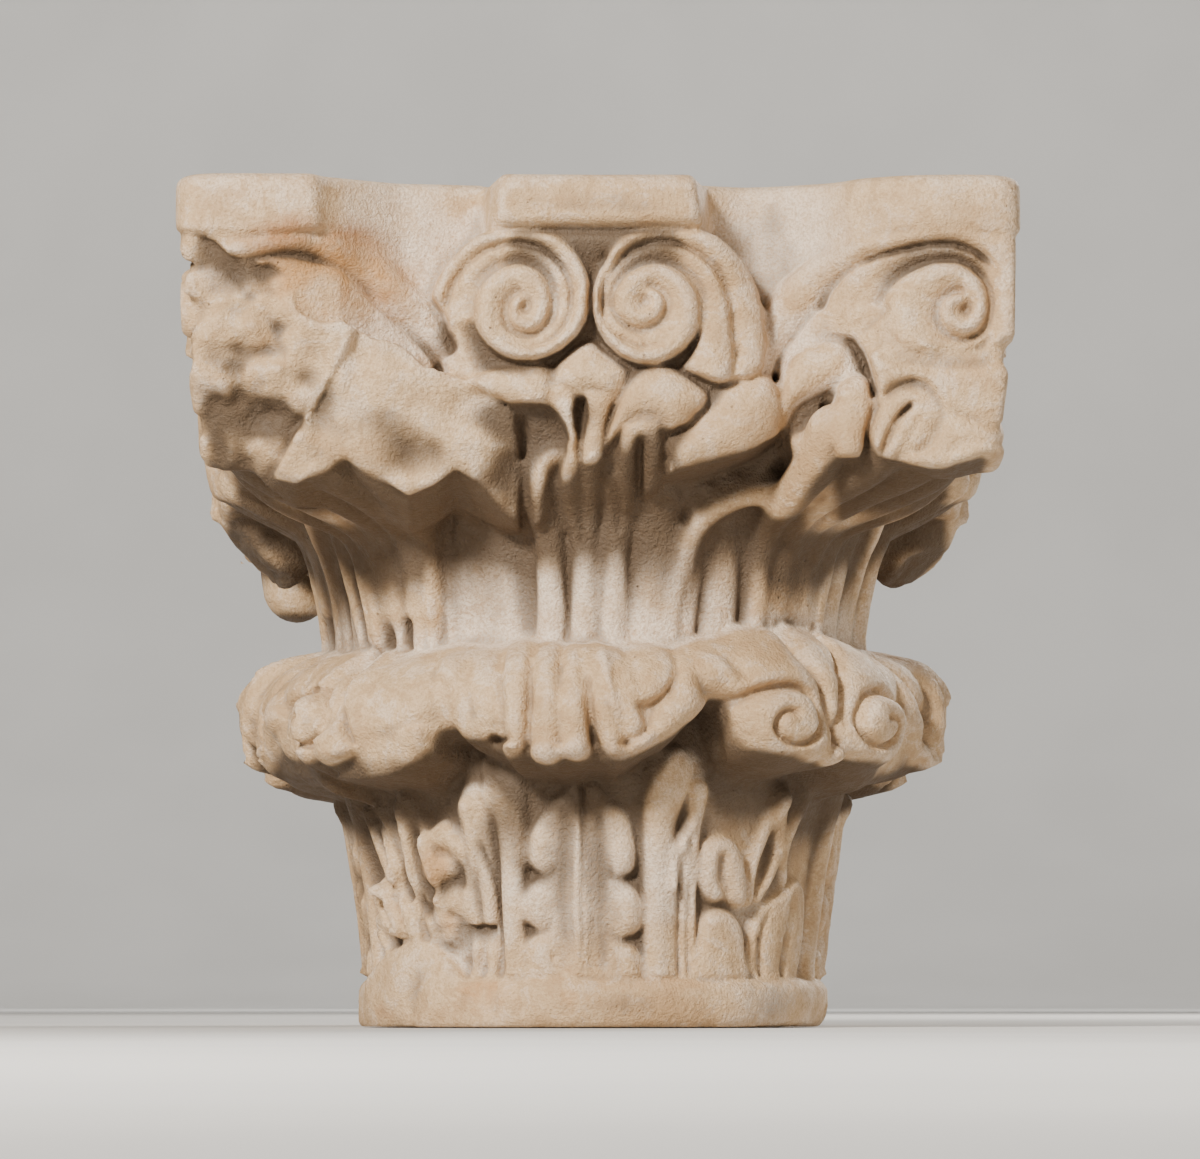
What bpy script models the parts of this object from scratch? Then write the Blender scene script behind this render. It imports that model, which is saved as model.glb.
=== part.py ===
"""Double capital: two leafy bells carved from one block of marble under a shared abacus.

X runs across the short end faces, Y along the block, Z up. The origin is at the
centre of the underside, on the level of the two rings that stand on the shafts.
The front end, at -Y, is the damaged one.
"""

import math

import bmesh
import bpy
from mathutils import Vector

# Block and abacus, in metres
BLOCK_WIDTH = 0.340
BLOCK_HEIGHT = 0.342
BELL_SPACING = 0.250
ABACUS_HEIGHT = 0.024
RECESS_DEPTH = 0.045
BOSS_HALF_WIDTH = 0.042
CORNER_ROUNDING = 0.012

# Bells: radii and the heights where they apply
RING_RADIUS = 0.099
RING_HEIGHT = 0.020
NECK_RADIUS = 0.0955
LOWER_BELL_RADIUS = 0.107
CROWN_RADIUS = 0.146
CROWN_FOOT = 0.102
CROWN_TOP = 0.162
WAIST_RADIUS = 0.1125
BELL_LIP_RADIUS = 0.122
LEAF_UNDERSIDE = 0.224
TIP_BOTTOM = 0.194

# Mesh
VOXEL = 0.0027
SMOOTHING_STEPS = 2
KEPT_SHARE_OF_FACES = 0.0192
TUBE_SIDES = 3
PATH_STEPS = 6

BLOCK_LENGTH = BLOCK_WIDTH + BELL_SPACING
BELL_CENTRE = BELL_SPACING / 2

# How far the block behind the leaves lies inside the abacus, in grid units
CORE_INSET = 22

# The carving is drawn on a grid of 340 units across a face and 342 up it
ACROSS = BLOCK_WIDTH / 340
UP = BLOCK_HEIGHT / 342
HALF_FACE = 170

# Outer edge of the spirals at each quarter turn, in units across the face
HELIX_RADII = (42, 29.5, 21, 26, 22, 16, 12, 7)
VOLUTE_RADII = (76, 33.5, 24, 26, 31, 19, 11, 8)
HELIX_EYE = (20, 295)
VOLUTE_EYE = (145, 287)

MARBLE_COLOUR = (0.62, 0.51, 0.39, 1.0)


def clear_scene():
    for old in list(bpy.data.objects):
        bpy.data.objects.remove(old, do_unlink=True)


def new_collection(name):
    made = bpy.data.collections.new(name)
    bpy.context.scene.collection.children.link(made)
    return made


def marble():
    made = bpy.data.materials.new("marble")
    made.use_nodes = True
    shader = made.node_tree.nodes["Principled BSDF"]
    shader.inputs["Base Color"].default_value = MARBLE_COLOUR
    shader.inputs["Roughness"].default_value = 0.75
    shader.inputs["Metallic"].default_value = 0.0
    return made


def smooth_path(points, steps=PATH_STEPS):
    """A Catmull-Rom curve through tuples of numbers."""
    ends = [points[0], *points, points[-1]]
    path = []
    for before, start, end, after in zip(ends, ends[1:], ends[2:], ends[3:]):
        for step in range(steps):
            t = step / steps
            path.append(tuple(
                0.5 * (2 * b + (c - a) * t + (2 * a - 5 * b + 4 * c - d) * t * t
                       + (3 * b - a - 3 * c + d) * t ** 3)
                for a, b, c, d in zip(before, start, end, after)
            ))
    return [*path, tuple(points[-1])]


def interpolate(table, x):
    """The value at x in a table of (x, value) pairs in rising x."""
    for (x0, y0), (x1, y1) in zip(table, table[1:]):
        if x <= x1:
            return y0 + (y1 - y0) * max(0.0, (x - x0) / (x1 - x0))
    return table[-1][1]


def mesh_object(name, mesh, collection):
    made = bpy.data.objects.new(name, mesh)
    collection.objects.link(made)
    return made


def as_closed_mesh(source, collection):
    """Turns a curve or modified object into a plain mesh with its caps welded."""
    graph = bpy.context.evaluated_depsgraph_get()
    mesh = bpy.data.meshes.new_from_object(source.evaluated_get(graph))
    mesh.transform(source.matrix_world)
    shape = bmesh.new()
    shape.from_mesh(mesh)
    bmesh.ops.remove_doubles(shape, verts=shape.verts, dist=1e-6)
    bmesh.ops.recalc_face_normals(shape, faces=shape.faces)
    shape.to_mesh(mesh)
    shape.free()
    made = mesh_object(source.name + "_solid", mesh, collection)
    bpy.data.objects.remove(source, do_unlink=True)
    return made


def rounded_end(before, end):
    """Extra path points past an end, so that the stroke closes in a half ball."""
    here = Vector(end[:3])
    along = (here - Vector(before[:3])).normalized()
    points = []
    for angle in (35, 65, 86):
        turn = math.radians(angle)
        points.append((*(here + along * end[3] * math.sin(turn)), end[3] * math.cos(turn)))
    return points


def lobe(collection, points, radii):
    """A tapering round stroke through points, which are vectors in metres."""
    curve = bpy.data.curves.new("lobe", "CURVE")
    curve.dimensions = "3D"
    curve.bevel_depth = 1.0
    curve.bevel_resolution = TUBE_SIDES
    curve.use_fill_caps = True
    spline = curve.splines.new("POLY")
    path = smooth_path([(*p, r) for p, r in zip(points, radii)])
    path = rounded_end(path[1], path[0])[::-1] + path + rounded_end(path[-2], path[-1])
    spline.points.add(len(path) - 1)
    for point, (x, y, z, radius) in zip(spline.points, path):
        point.co = (x, y, z, 1)
        point.radius = radius
    source = mesh_object("lobe", curve, collection)
    bpy.context.view_layer.update()
    return as_closed_mesh(source, collection)


def knob(collection, centre, radius):
    shape = bmesh.new()
    bmesh.ops.create_uvsphere(shape, u_segments=20, v_segments=12, radius=radius)
    bmesh.ops.translate(shape, verts=shape.verts, vec=centre)
    mesh = bpy.data.meshes.new("knob")
    shape.to_mesh(mesh)
    shape.free()
    return mesh_object("knob", mesh, collection)


def end_face(bell, side):
    """Places grid points on half of an end face. bell is -1 at the front, 1 at the back."""
    def place(across, up, depth):
        return Vector((
            side * across * ACROSS,
            bell * (BLOCK_LENGTH / 2 - depth * ACROSS),
            up * UP,
        ))
    return place


def long_face(bell, side, half):
    """The same on a long face, where the half towards the other bell is narrower."""
    reach = BLOCK_WIDTH / 2 if half > 0 else BELL_CENTRE

    def place(across, up, depth):
        return Vector((
            side * (BLOCK_WIDTH / 2 - depth * ACROSS),
            bell * (BELL_CENTRE + half * across / HALF_FACE * reach),
            up * UP,
        ))
    return place


def half_faces():
    """Every half face as (place, is the damaged front left, keeps its middle leaf tip)."""
    for bell in (-1, 1):
        for side in (-1, 1):
            front_left = bell == -1 and side == -1
            yield end_face(bell, side), front_left, False
            for half in (-1, 1):
                yield long_face(bell, side, half), False, not front_left


def on_bell(bell, angle, radius, height):
    """A point round a bell. Angle 0 faces away from the other bell."""
    turn = math.radians(angle)
    return Vector((
        radius * math.sin(turn),
        bell * (BELL_CENTRE + radius * math.cos(turn)),
        height,
    ))


def recess_depth(across):
    """How far the hollow side of the abacus lies behind the face, in grid units."""
    deep = RECESS_DEPTH / ACROSS
    boss = BOSS_HALF_WIDTH / ACROSS
    table = (
        (boss + 2, deep), (boss + 18, deep), (76, deep * 0.88), (92, deep * 0.66),
        (106, deep * 0.32), (120, deep * 0.10), (134, 0.0), (HALF_FACE, 0.0),
    )
    return interpolate(table, across)


def abacus_outline(with_bosses, inset):
    """The plan of the abacus as a closed list of points, going round once."""
    boss = BOSS_HALF_WIDTH / ACROSS
    rounding = CORNER_ROUNDING / ACROSS
    stops = [boss + 2, boss + 18, 76, 92, 106, 120, 134, HALF_FACE - rounding]
    half = [(across, recess_depth(across) + inset) for across in stops]
    if with_bosses:
        half = [(0, inset + 2), (boss, inset + 2), *half]
    else:
        half = [(0, recess_depth(0) + inset), *half]

    def side_of(place, points):
        return [place(across, 0, depth).xy for across, depth in points]

    there = half
    back = half[:0:-1]
    outline = []
    outline += side_of(end_face(-1, 1), there)
    outline += side_of(long_face(-1, 1, 1), back)
    outline += side_of(long_face(-1, 1, -1), there[:-1])
    outline += side_of(long_face(1, 1, -1), half[-2:0:-1])
    outline += side_of(long_face(1, 1, 1), there)
    outline += side_of(end_face(1, 1), back)
    outline += side_of(end_face(1, -1), there)
    outline += side_of(long_face(1, -1, 1), back)
    outline += side_of(long_face(1, -1, -1), there[:-1])
    outline += side_of(long_face(-1, -1, -1), half[-2:0:-1])
    outline += side_of(long_face(-1, -1, 1), there)
    outline += side_of(end_face(-1, -1), back)
    return outline


def plate(collection, outline, bottom, top):
    """A flat outline, filled and extruded between two heights."""
    curve = bpy.data.curves.new("plate", "CURVE")
    curve.dimensions = "2D"
    curve.fill_mode = "BOTH"
    curve.extrude = (top - bottom) / 2
    spline = curve.splines.new("POLY")
    spline.points.add(len(outline) - 1)
    spline.use_cyclic_u = True
    for point, (x, y) in zip(spline.points, outline):
        point.co = (x, y, 0, 1)
    source = mesh_object("plate", curve, collection)
    source.location.z = (top + bottom) / 2
    bpy.context.view_layer.update()
    return as_closed_mesh(source, collection)


def bell_profile():
    """Outer side of a bell, top to bottom, with the swell that carries the crown of leaves."""
    belly = (CROWN_FOOT + CROWN_TOP) / 2
    return [
        (0.0, BLOCK_HEIGHT - ABACUS_HEIGHT / 2),
        (BELL_LIP_RADIUS, BLOCK_HEIGHT - ABACUS_HEIGHT / 2),
        (BELL_LIP_RADIUS, LEAF_UNDERSIDE),
        ((BELL_LIP_RADIUS + WAIST_RADIUS) / 2, (LEAF_UNDERSIDE + CROWN_TOP) / 2),
        (WAIST_RADIUS, CROWN_TOP),
        (CROWN_RADIUS * 0.91, belly + 0.016),
        (CROWN_RADIUS * 0.93, belly - 0.002),
        (LOWER_BELL_RADIUS + 0.012, CROWN_FOOT + 0.012),
        (LOWER_BELL_RADIUS, CROWN_FOOT - 0.004),
        (NECK_RADIUS, RING_HEIGHT + 0.004),
        (NECK_RADIUS, RING_HEIGHT),
        (RING_RADIUS, RING_HEIGHT - 0.005),
        (RING_RADIUS, 0.004),
        (RING_RADIUS - 0.003, -0.004),
        (0.0, -0.004),
    ]


def bell_solid(collection, bell):
    shape = bmesh.new()
    corners = [shape.verts.new((radius, 0, height)) for radius, height in bell_profile()]
    for first, second in zip(corners, corners[1:]):
        shape.edges.new((first, second))
    mesh = bpy.data.meshes.new("bell")
    shape.to_mesh(mesh)
    shape.free()
    source = mesh_object("bell", mesh, collection)
    source.location.y = bell * BELL_CENTRE
    turned = source.modifiers.new("turned", "SCREW")
    turned.steps = turned.render_steps = 48
    turned.use_merge_vertices = True
    turned.merge_threshold = 0.0001
    turned.use_smooth_shade = False
    bpy.context.view_layer.update()
    return as_closed_mesh(source, collection)


def spiral(eye, radii, start, turn, inset):
    """Grid points along a spiral. radii are its outer edge at each quarter turn."""
    path = []
    for quarter, (radius,) in enumerate(smooth_path([(r,) for r in radii], 4)):
        angle = math.radians(start + turn * 90 * quarter / 4)
        reach = max(radius - inset, 1.5)
        path.append((eye[0] + reach * math.cos(angle), eye[1] + reach * math.sin(angle)))
    return path


def helix(collection, place):
    """One of the two small spirals that meet under the boss."""
    across, up = HELIX_EYE
    lobe(collection, [place(across, up, 60), place(across, up, 44)], [0.024, 0.023])
    path = [(60, 262), (61, 278)] + spiral(HELIX_EYE, HELIX_RADII, 0, 1, 4)
    points = [place(a, u, 14 + 10 * max(0, a - 30) / 30) for a, u in path]
    count = len(points) - 1
    lobe(collection, points, [0.0074 - 0.0022 * i / count for i in range(count + 1)])
    lobe(collection, [place(50, 266, 40), place(50, 286, 36), place(42, 298, 32)], [0.012] * 3)


def volute(collection, place, whole):
    """The corner volute, from its root beside the helix out to the corner."""
    def depth(across):
        return 0.75 * recess_depth(across) + 11

    path = [(73, 264)] + spiral(VOLUTE_EYE, VOLUTE_RADII, 180, -1, 6.5)
    if not whole:
        path = path[:6]
    count = len(path) - 1
    points = [place(min(a, 160), u, depth(a)) for a, u in path]
    lobe(collection, points, [0.0096 - 0.0036 * i / count for i in range(count + 1)])
    under = [(78, 262), (92, 280), (112, 290), (136, 288)]
    points = [place(a, u, depth(a) + 27) for a, u in under]
    lobe(collection, points, [0.012, 0.017, 0.021, 0.021])
    if whole:
        knob(collection, place(*VOLUTE_EYE, 15), 0.012)


def corner_leaf(collection, place, whole):
    """Curled lobes of the upper leaf between the centre and a corner."""
    lumps = [
        ([(58, 264, 40), (57, 254, 30), (56, 242, 28)], (12, 15, 13)),
        ([(74, 256, 46), (84, 265, 36), (96, 266, 30), (108, 258, 26)], (7, 8, 8, 8)),
    ]
    if whole:
        lumps += [
            ([(102, 262, 36), (102, 254, 22), (103, 240, 14), (103, 230, 18)], (8, 9, 9, 6)),
            ([(113, 230, 20), (117, 248, 15), (126, 256, 14), (135, 251, 13),
              (132, 238, 16)], (5, 6, 6, 6, 5)),
            ([(138, 264, 30), (144, 250, 24), (146, 240, 24)], (14, 15, 14)),
        ]
    else:
        lumps += [([(90, 262, 46), (112, 250, 38), (138, 246, 32)], (14, 20, 22))]
    for points, radii in lumps:
        lobe(collection, [place(*p) for p in points], [r * ACROSS for r in radii])


def centre_leaf(collection, place, tip):
    """Half of the upper leaf under the boss: its curled tip and the hooks below it."""
    lumps = [
        ([(8, 270, 34), (4, 262, 22), (3, 252, 18), (3, 240, 24)], (9, 10, 9, 6)),
        ([(28, 268, 36), (26, 260, 24), (25, 251, 19), (24, 243, 22)], (11, 13, 13, 10)),
        ([(44, 264, 40), (45, 250, 27), (43, 240, 27)], (10, 12, 10)),
        ([(10, 200, 42), (11, 226, 28), (15, 238, 22), (22, 238, 20), (26, 230, 21)],
         (5, 5, 5, 5, 4)),
    ]
    if tip:
        lumps += [([(3, 250, 38), (3, 240, 24), (3, 226, 17)], (14, 14, 12))]
    for points, radii in lumps:
        lobe(collection, [place(*p) for p in points], [r * ACROSS for r in radii])


def stalks(collection, bell):
    """Ribs that rise from the waist and flare out under the upper leaves."""
    for leaf in range(-4, 5):
        at_corner = leaf % 2
        for spread in (-1, 0, 1):
            inner = leaf * 45 + spread * 5.5
            outer = leaf * 45 + spread * (10 if at_corner else 13)
            reach = 0.195 - 0.013 * abs(spread) if at_corner else 0.149
            points = [
                on_bell(bell, inner, WAIST_RADIUS - 0.004, CROWN_TOP - 0.004),
                on_bell(bell, inner, WAIST_RADIUS, CROWN_TOP + 0.020),
                on_bell(bell, (inner + outer) / 2, BELL_LIP_RADIUS + 0.010, LEAF_UNDERSIDE - 0.014),
                on_bell(bell, outer, reach, LEAF_UNDERSIDE + 0.016),
            ]
            if abs(points[-1].y) < 0.004:
                continue
            lobe(collection, points, [0.0068, 0.0078, 0.012, 0.017])


def crown_leaf(collection, bell, angle):
    """One leaf of the crown: five plain lobes, or a ridge between two curls at a corner."""
    def bent(turn, reach, foot, radius):
        points = [
            on_bell(bell, turn, WAIST_RADIUS - 0.002, CROWN_TOP - radius * 0.6),
            on_bell(bell, turn, reach - radius - 0.004, CROWN_TOP - 0.010 - radius),
            on_bell(bell, turn, reach - radius, (CROWN_TOP + CROWN_FOOT) / 2),
            on_bell(bell, turn, reach - radius - 0.004, foot + radius),
        ]
        lobe(collection, points, [radius * 0.8, radius, radius, radius])

    if angle % 90:
        bent(angle, CROWN_RADIUS + 0.002, CROWN_FOOT + 0.002, 0.010)
        for side in (-1, 1):
            turn = angle + side * 9
            bent(turn, CROWN_RADIUS - 0.001, CROWN_FOOT + 0.004, 0.017)
            bent(angle + side * 16, CROWN_RADIUS - 0.006, CROWN_FOOT + 0.012, 0.014)
            curl = on_bell(bell, turn, CROWN_RADIUS - 0.011, (CROWN_FOOT + CROWN_TOP) / 2 - 0.006)
            knob(collection, curl, 0.015)
    else:
        for step in (-2, -1, 0, 1, 2):
            reach = CROWN_RADIUS - 0.002 * abs(step)
            bent(angle + step * 8.8, reach, CROWN_FOOT + 0.004 * abs(step), 0.0138)


def lower_leaf(collection, bell, angle):
    """A leaf on the lower bell: edge stems that flare under the crown, a midrib and lobes."""
    for side in (-1, 1):
        turn = angle + side * 17
        lobe(collection, [
            on_bell(bell, turn, NECK_RADIUS - 0.001, RING_HEIGHT - 0.004),
            on_bell(bell, turn, NECK_RADIUS + 0.002, RING_HEIGHT + 0.030),
            on_bell(bell, turn, LOWER_BELL_RADIUS, CROWN_FOOT - 0.018),
            on_bell(bell, turn, CROWN_RADIUS - 0.018, CROWN_FOOT + 0.010),
        ], [0.0062, 0.0062, 0.0085, 0.013])
        for row in range(3):
            height = RING_HEIGHT + 0.014 + 0.022 * row
            radius = NECK_RADIUS + 0.003 * row - 0.006
            knob(collection, on_bell(bell, angle + side * 8.5, radius, height), 0.0105)


def tips(collection):
    """The heavy curled leaf ends that hang at the corners and at the middle of each side."""
    half_width = BLOCK_WIDTH / 2 - 0.010
    half_length = BLOCK_LENGTH / 2 - 0.010
    size = 0.020
    spots = [(side, end) for side in (-1, 1) for end in (-1, 0, 1)]
    for side, end in spots:
        whole = end == 0 or (side, end) == (-1, 1)
        foot = TIP_BOTTOM + size if whole else LEAF_UNDERSIDE + size
        lobe(collection, [
            Vector((side * (half_width - size * 1.5), end * (half_length - size * 1.5),
                    BLOCK_HEIGHT - ABACUS_HEIGHT - size * 0.4)),
            Vector((side * (half_width - size), end * (half_length - size),
                    LEAF_UNDERSIDE + 0.026)),
            Vector((side * (half_width - size), end * (half_length - size), foot)),
        ], [size * 0.9, size, size])


def break_cutters(collection):
    """Boxes whose far faces are the old breaks of the front left corner."""
    front = -BLOCK_LENGTH / 2
    left = -BLOCK_WIDTH / 2
    breaks = [
        ((left + 0.024, front + 0.014, 0.268), (16, 0, -6), (0.096, 0.06, 0.084)),
        ((left + 0.098, front + 0.028, 0.246), (12, -12, 5), (0.095, 0.06, 0.050)),
    ]
    made = []
    for point, angles, size in breaks:
        shape = bmesh.new()
        bmesh.ops.create_cube(shape, size=1)
        bmesh.ops.scale(shape, verts=shape.verts, vec=size)
        bmesh.ops.translate(shape, verts=shape.verts, vec=(0, -size[1] / 2, 0))
        mesh = bpy.data.meshes.new("old_break")
        shape.to_mesh(mesh)
        shape.free()
        cutter = mesh_object("old_break", mesh, collection)
        cutter.location = point
        cutter.rotation_euler = [math.radians(a) for a in angles]
        made.append(cutter)
    return made


def ring_stump(collection):
    """The rough mass left where the ring and the leaf above it broke away, front left."""
    for angle, height, radius in ((-58, 0.012, 0.016), (-42, 0.014, 0.018), (-27, 0.008, 0.012)):
        knob(collection, on_bell(-1, angle, RING_RADIUS - radius + 0.003, height), radius)
    knob(collection, on_bell(-1, -48, NECK_RADIUS - 0.008, 0.028), 0.015)


def bed_box(collection):
    """The two dressed beds: nothing stands below the rings or above the abacus."""
    shape = bmesh.new()
    bmesh.ops.create_cube(shape, size=1)
    size = (BLOCK_WIDTH + 0.2, BLOCK_LENGTH + 0.2, BLOCK_HEIGHT)
    bmesh.ops.scale(shape, verts=shape.verts, vec=size)
    bmesh.ops.translate(shape, verts=shape.verts, vec=(0, 0, BLOCK_HEIGHT / 2))
    mesh = bpy.data.meshes.new("beds")
    shape.to_mesh(mesh)
    shape.free()
    return mesh_object("beds", mesh, collection)


def carve(collection):
    """Every form of the carving, as overlapping solids still to be fused."""
    top = BLOCK_HEIGHT + 0.004
    abacus_foot = BLOCK_HEIGHT - ABACUS_HEIGHT
    plate(collection, abacus_outline(True, 0), abacus_foot, top)
    plate(collection, abacus_outline(False, CORE_INSET), LEAF_UNDERSIDE, abacus_foot + 0.004)
    for bell in (-1, 1):
        bell_solid(collection, bell)
        stalks(collection, bell)
        for leaf in range(-3, 5):
            crown_leaf(collection, bell, leaf * 45)
            lower_leaf(collection, bell, leaf * 45)
    for place, damaged, tip in half_faces():
        helix(collection, place)
        volute(collection, place, not damaged)
        centre_leaf(collection, place, tip)
        corner_leaf(collection, place, not damaged)
    tips(collection)
    ring_stump(collection)


def fuse(pieces, collection):
    """One mesh that holds all the pieces, still as separate shells."""
    shape = bmesh.new()
    for piece in list(pieces.objects):
        piece_mesh = piece.data
        piece_mesh.transform(piece.matrix_world)
        shape.from_mesh(piece_mesh)
        bpy.data.objects.remove(piece, do_unlink=True)
    mesh = bpy.data.meshes.new("double_capital")
    shape.to_mesh(mesh)
    shape.free()
    return mesh_object("double_capital", mesh, collection)


def finish_block(block, cutters, beds, material):
    """Fuses the shells into one skin, softens it, breaks it and dresses the beds."""
    skin = block.modifiers.new("one_skin", "REMESH")
    skin.mode = "VOXEL"
    skin.voxel_size = VOXEL
    worn = block.modifiers.new("worn", "SMOOTH")
    worn.factor = 0.5
    worn.iterations = SMOOTHING_STEPS
    facets = block.modifiers.new("facets", "DECIMATE")
    facets.ratio = KEPT_SHARE_OF_FACES
    for cutter in cutters:
        broken = block.modifiers.new("broken", "BOOLEAN")
        broken.operation = "DIFFERENCE"
        broken.object = cutter
    dressed = block.modifiers.new("dressed_beds", "BOOLEAN")
    dressed.operation = "INTERSECT"
    dressed.object = beds
    block.data.materials.append(material)


def main():
    clear_scene()
    stone = new_collection("double_capital")
    pieces = new_collection("carving")
    guides = new_collection("cutters")
    carve(pieces)
    block = fuse(pieces, stone)
    cutters = break_cutters(guides)
    beds = bed_box(guides)
    for guide in (*cutters, beds):
        guide.hide_render = True
        guide.display_type = "WIRE"
    finish_block(block, cutters, beds, marble())


main()
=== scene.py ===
"""Looks of the double capital: one marble piece, sculpted as a distance field.

Lengths are millimetres until the mesh is made. X runs across the end faces, Y along the
block and Z up. Depth counts inwards from a face. An angle round a bell is 0 on the side
away from the other bell and grows towards +X.
"""

import itertools
import math

import bpy
import numpy as np
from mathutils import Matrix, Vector

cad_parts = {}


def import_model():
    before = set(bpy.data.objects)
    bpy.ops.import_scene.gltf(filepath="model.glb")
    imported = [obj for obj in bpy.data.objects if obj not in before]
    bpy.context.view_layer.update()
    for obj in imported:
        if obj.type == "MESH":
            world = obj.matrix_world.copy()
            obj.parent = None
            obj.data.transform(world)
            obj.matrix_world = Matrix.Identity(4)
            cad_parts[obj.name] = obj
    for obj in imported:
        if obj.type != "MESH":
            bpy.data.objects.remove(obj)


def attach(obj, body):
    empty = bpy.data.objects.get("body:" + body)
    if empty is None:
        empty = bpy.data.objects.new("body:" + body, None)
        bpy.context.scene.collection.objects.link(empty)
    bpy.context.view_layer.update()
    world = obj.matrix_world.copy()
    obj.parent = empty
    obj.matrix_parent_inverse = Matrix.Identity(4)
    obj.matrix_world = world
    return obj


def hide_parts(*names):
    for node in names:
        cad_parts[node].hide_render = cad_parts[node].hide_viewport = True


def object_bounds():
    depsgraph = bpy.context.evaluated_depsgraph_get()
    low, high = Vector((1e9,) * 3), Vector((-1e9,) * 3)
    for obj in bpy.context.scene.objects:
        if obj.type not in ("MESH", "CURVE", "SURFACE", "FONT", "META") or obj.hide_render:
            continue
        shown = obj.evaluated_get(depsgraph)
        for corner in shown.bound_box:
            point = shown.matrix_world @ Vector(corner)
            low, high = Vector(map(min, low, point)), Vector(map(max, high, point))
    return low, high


MM = 0.001
FAR = 60.0

# Block
HALF_WIDTH = 170
HALF_LENGTH = 295
HEIGHT = 342
BELL_Y = 125
ABACUS_FOOT = 318
BELL_GAUGE = 108
# Steps of a flat canvas in mm, and of a round one in degrees up to a little past half a turn
PITCH = 0.9
TURN_STEP = 0.4
TURN_END = 185

# Grid steps and mesh size
STEP = 1.3
STEP_ALONG = 2.1
FRONT_ZONE = -195
FRONT_TRIANGLES = 88000
BACK_TRIANGLES = 106000

# Recess of the abacus: distance from the middle of a half face, depth behind the face
RECESS = ((0, 45), (44, 46), (62, 45), (76, 40), (92, 30), (104, 14), (120, 4), (135, 0), (170, 0))

# Bell: height and radius, and the crown of leaves from its foot (0) to its top (1)
BELL = (
    (-4, 94), (0, 95.5), (3, 98), (9, 99.2), (16, 98.6), (19.5, 96), (20.5, 92), (24, 90), (40, 91.5),
    (62, 94.5), (83, 98.5), (96, 103), (110, 105), (163, 105.8), (176, 107.8), (193, 111.5), (206, 116.5),
    (216, 123.5), (224, 130), (238, 135), (342, 138),
)
CROWN = (
    (-0.08, 101), (-0.02, 111), (0, 119), (0.03, 126), (0.1, 131.5), (0.2, 135), (0.42, 137), (0.6, 135.5),
    (0.72, 132), (0.84, 126), (0.94, 117.5), (1, 110), (1.06, 102),
)


def smooth_path(points, steps=5):
    """A Catmull-Rom curve through rows of numbers."""
    rows = np.array([points[0], *points, points[-1]], dtype=float)
    path = []
    for a, b, c, d in zip(rows, rows[1:], rows[2:], rows[3:]):
        for t in np.arange(steps) / steps:
            path.append(0.5 * (2 * b + (c - a) * t + (2 * a - 5 * b + 4 * c - d) * t * t
                               + (3 * b - a - 3 * c + d) * t ** 3))
    return np.array([*path, rows[-1]])


def table(pairs, value):
    """Reads a table of (value, result) pairs."""
    xs, ys = zip(*pairs)
    return np.interp(value, xs, ys)


def to_segment(a, u, a0, u0, a1, u1):
    """Share along a segment of the nearest place on it, and the distance to it."""
    length = (a1 - a0) ** 2 + (u1 - u0) ** 2 + 1e-9
    t = np.clip(((a - a0) * (a1 - a0) + (u - u0) * (u1 - u0)) / length, 0, 1)
    return t, np.hypot(a - a0 - t * (a1 - a0), u - u0 - t * (u1 - u0))


def smooth_step(low, high, value):
    t = np.clip((value - low) / (high - low), 0, 1)
    return t * t * (3 - 2 * t)


def soft_max(first, second, blend):
    """The larger of two distances, with the corner between them rounded."""
    soft = np.maximum(blend - np.abs(first - second), 0) / blend
    return np.maximum(first, second) + soft * soft * blend / 4


def on_bell(bell, angle, reach, up):
    """A place round a bell: -1 is the front one, 1 the back one."""
    turn = math.radians(angle)
    return reach * math.sin(turn), bell * (BELL_Y + reach * math.cos(turn)), up


def noise(points, size, seed):
    """Smooth noise from -1 to 1, with features about size across, at an array of points."""
    lattice = np.random.default_rng(seed).uniform(-1, 1, (32, 32, 32)).astype(np.float32)
    scaled = np.asarray(points, dtype=np.float32) / size
    cell = np.floor(scaled).astype(np.int32)
    part = scaled - cell
    part = part * part * (3 - 2 * part)
    total = np.zeros(scaled.shape[:-1], np.float32)
    for corner in itertools.product((0, 1), repeat=3):
        weight = np.ones_like(total)
        for axis in range(3):
            weight *= part[..., axis] if corner[axis] else 1 - part[..., axis]
        index = (cell + corner) % 32
        total += weight * lattice[index[..., 0], index[..., 1], index[..., 2]]
    return total


def rough(points, size, seed, octaves=3):
    """Broken-stone noise: octaves of noise, each half as large."""
    return sum(noise(points, size / 2 ** i, seed + i) / 2 ** i for i in range(octaves))


# Profiles across a spiral band, as shares of its width and of its relief: a plain winding, and
# the roll and channel of the first winding
PLAIN_BAND = ((0, -0.6), (0.12, -0.2), (0.38, 0), (0.75, -0.45), (1, -1))
BAND_ROLL = ((0, -0.4), (0.12, -0.12), (0.4, 0), (0.7, -0.35), (0.93, -1), (1, -1))
BAND_CHANNEL = ((0, -0.3), (0.35, -0.5), (1, -1))


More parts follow.
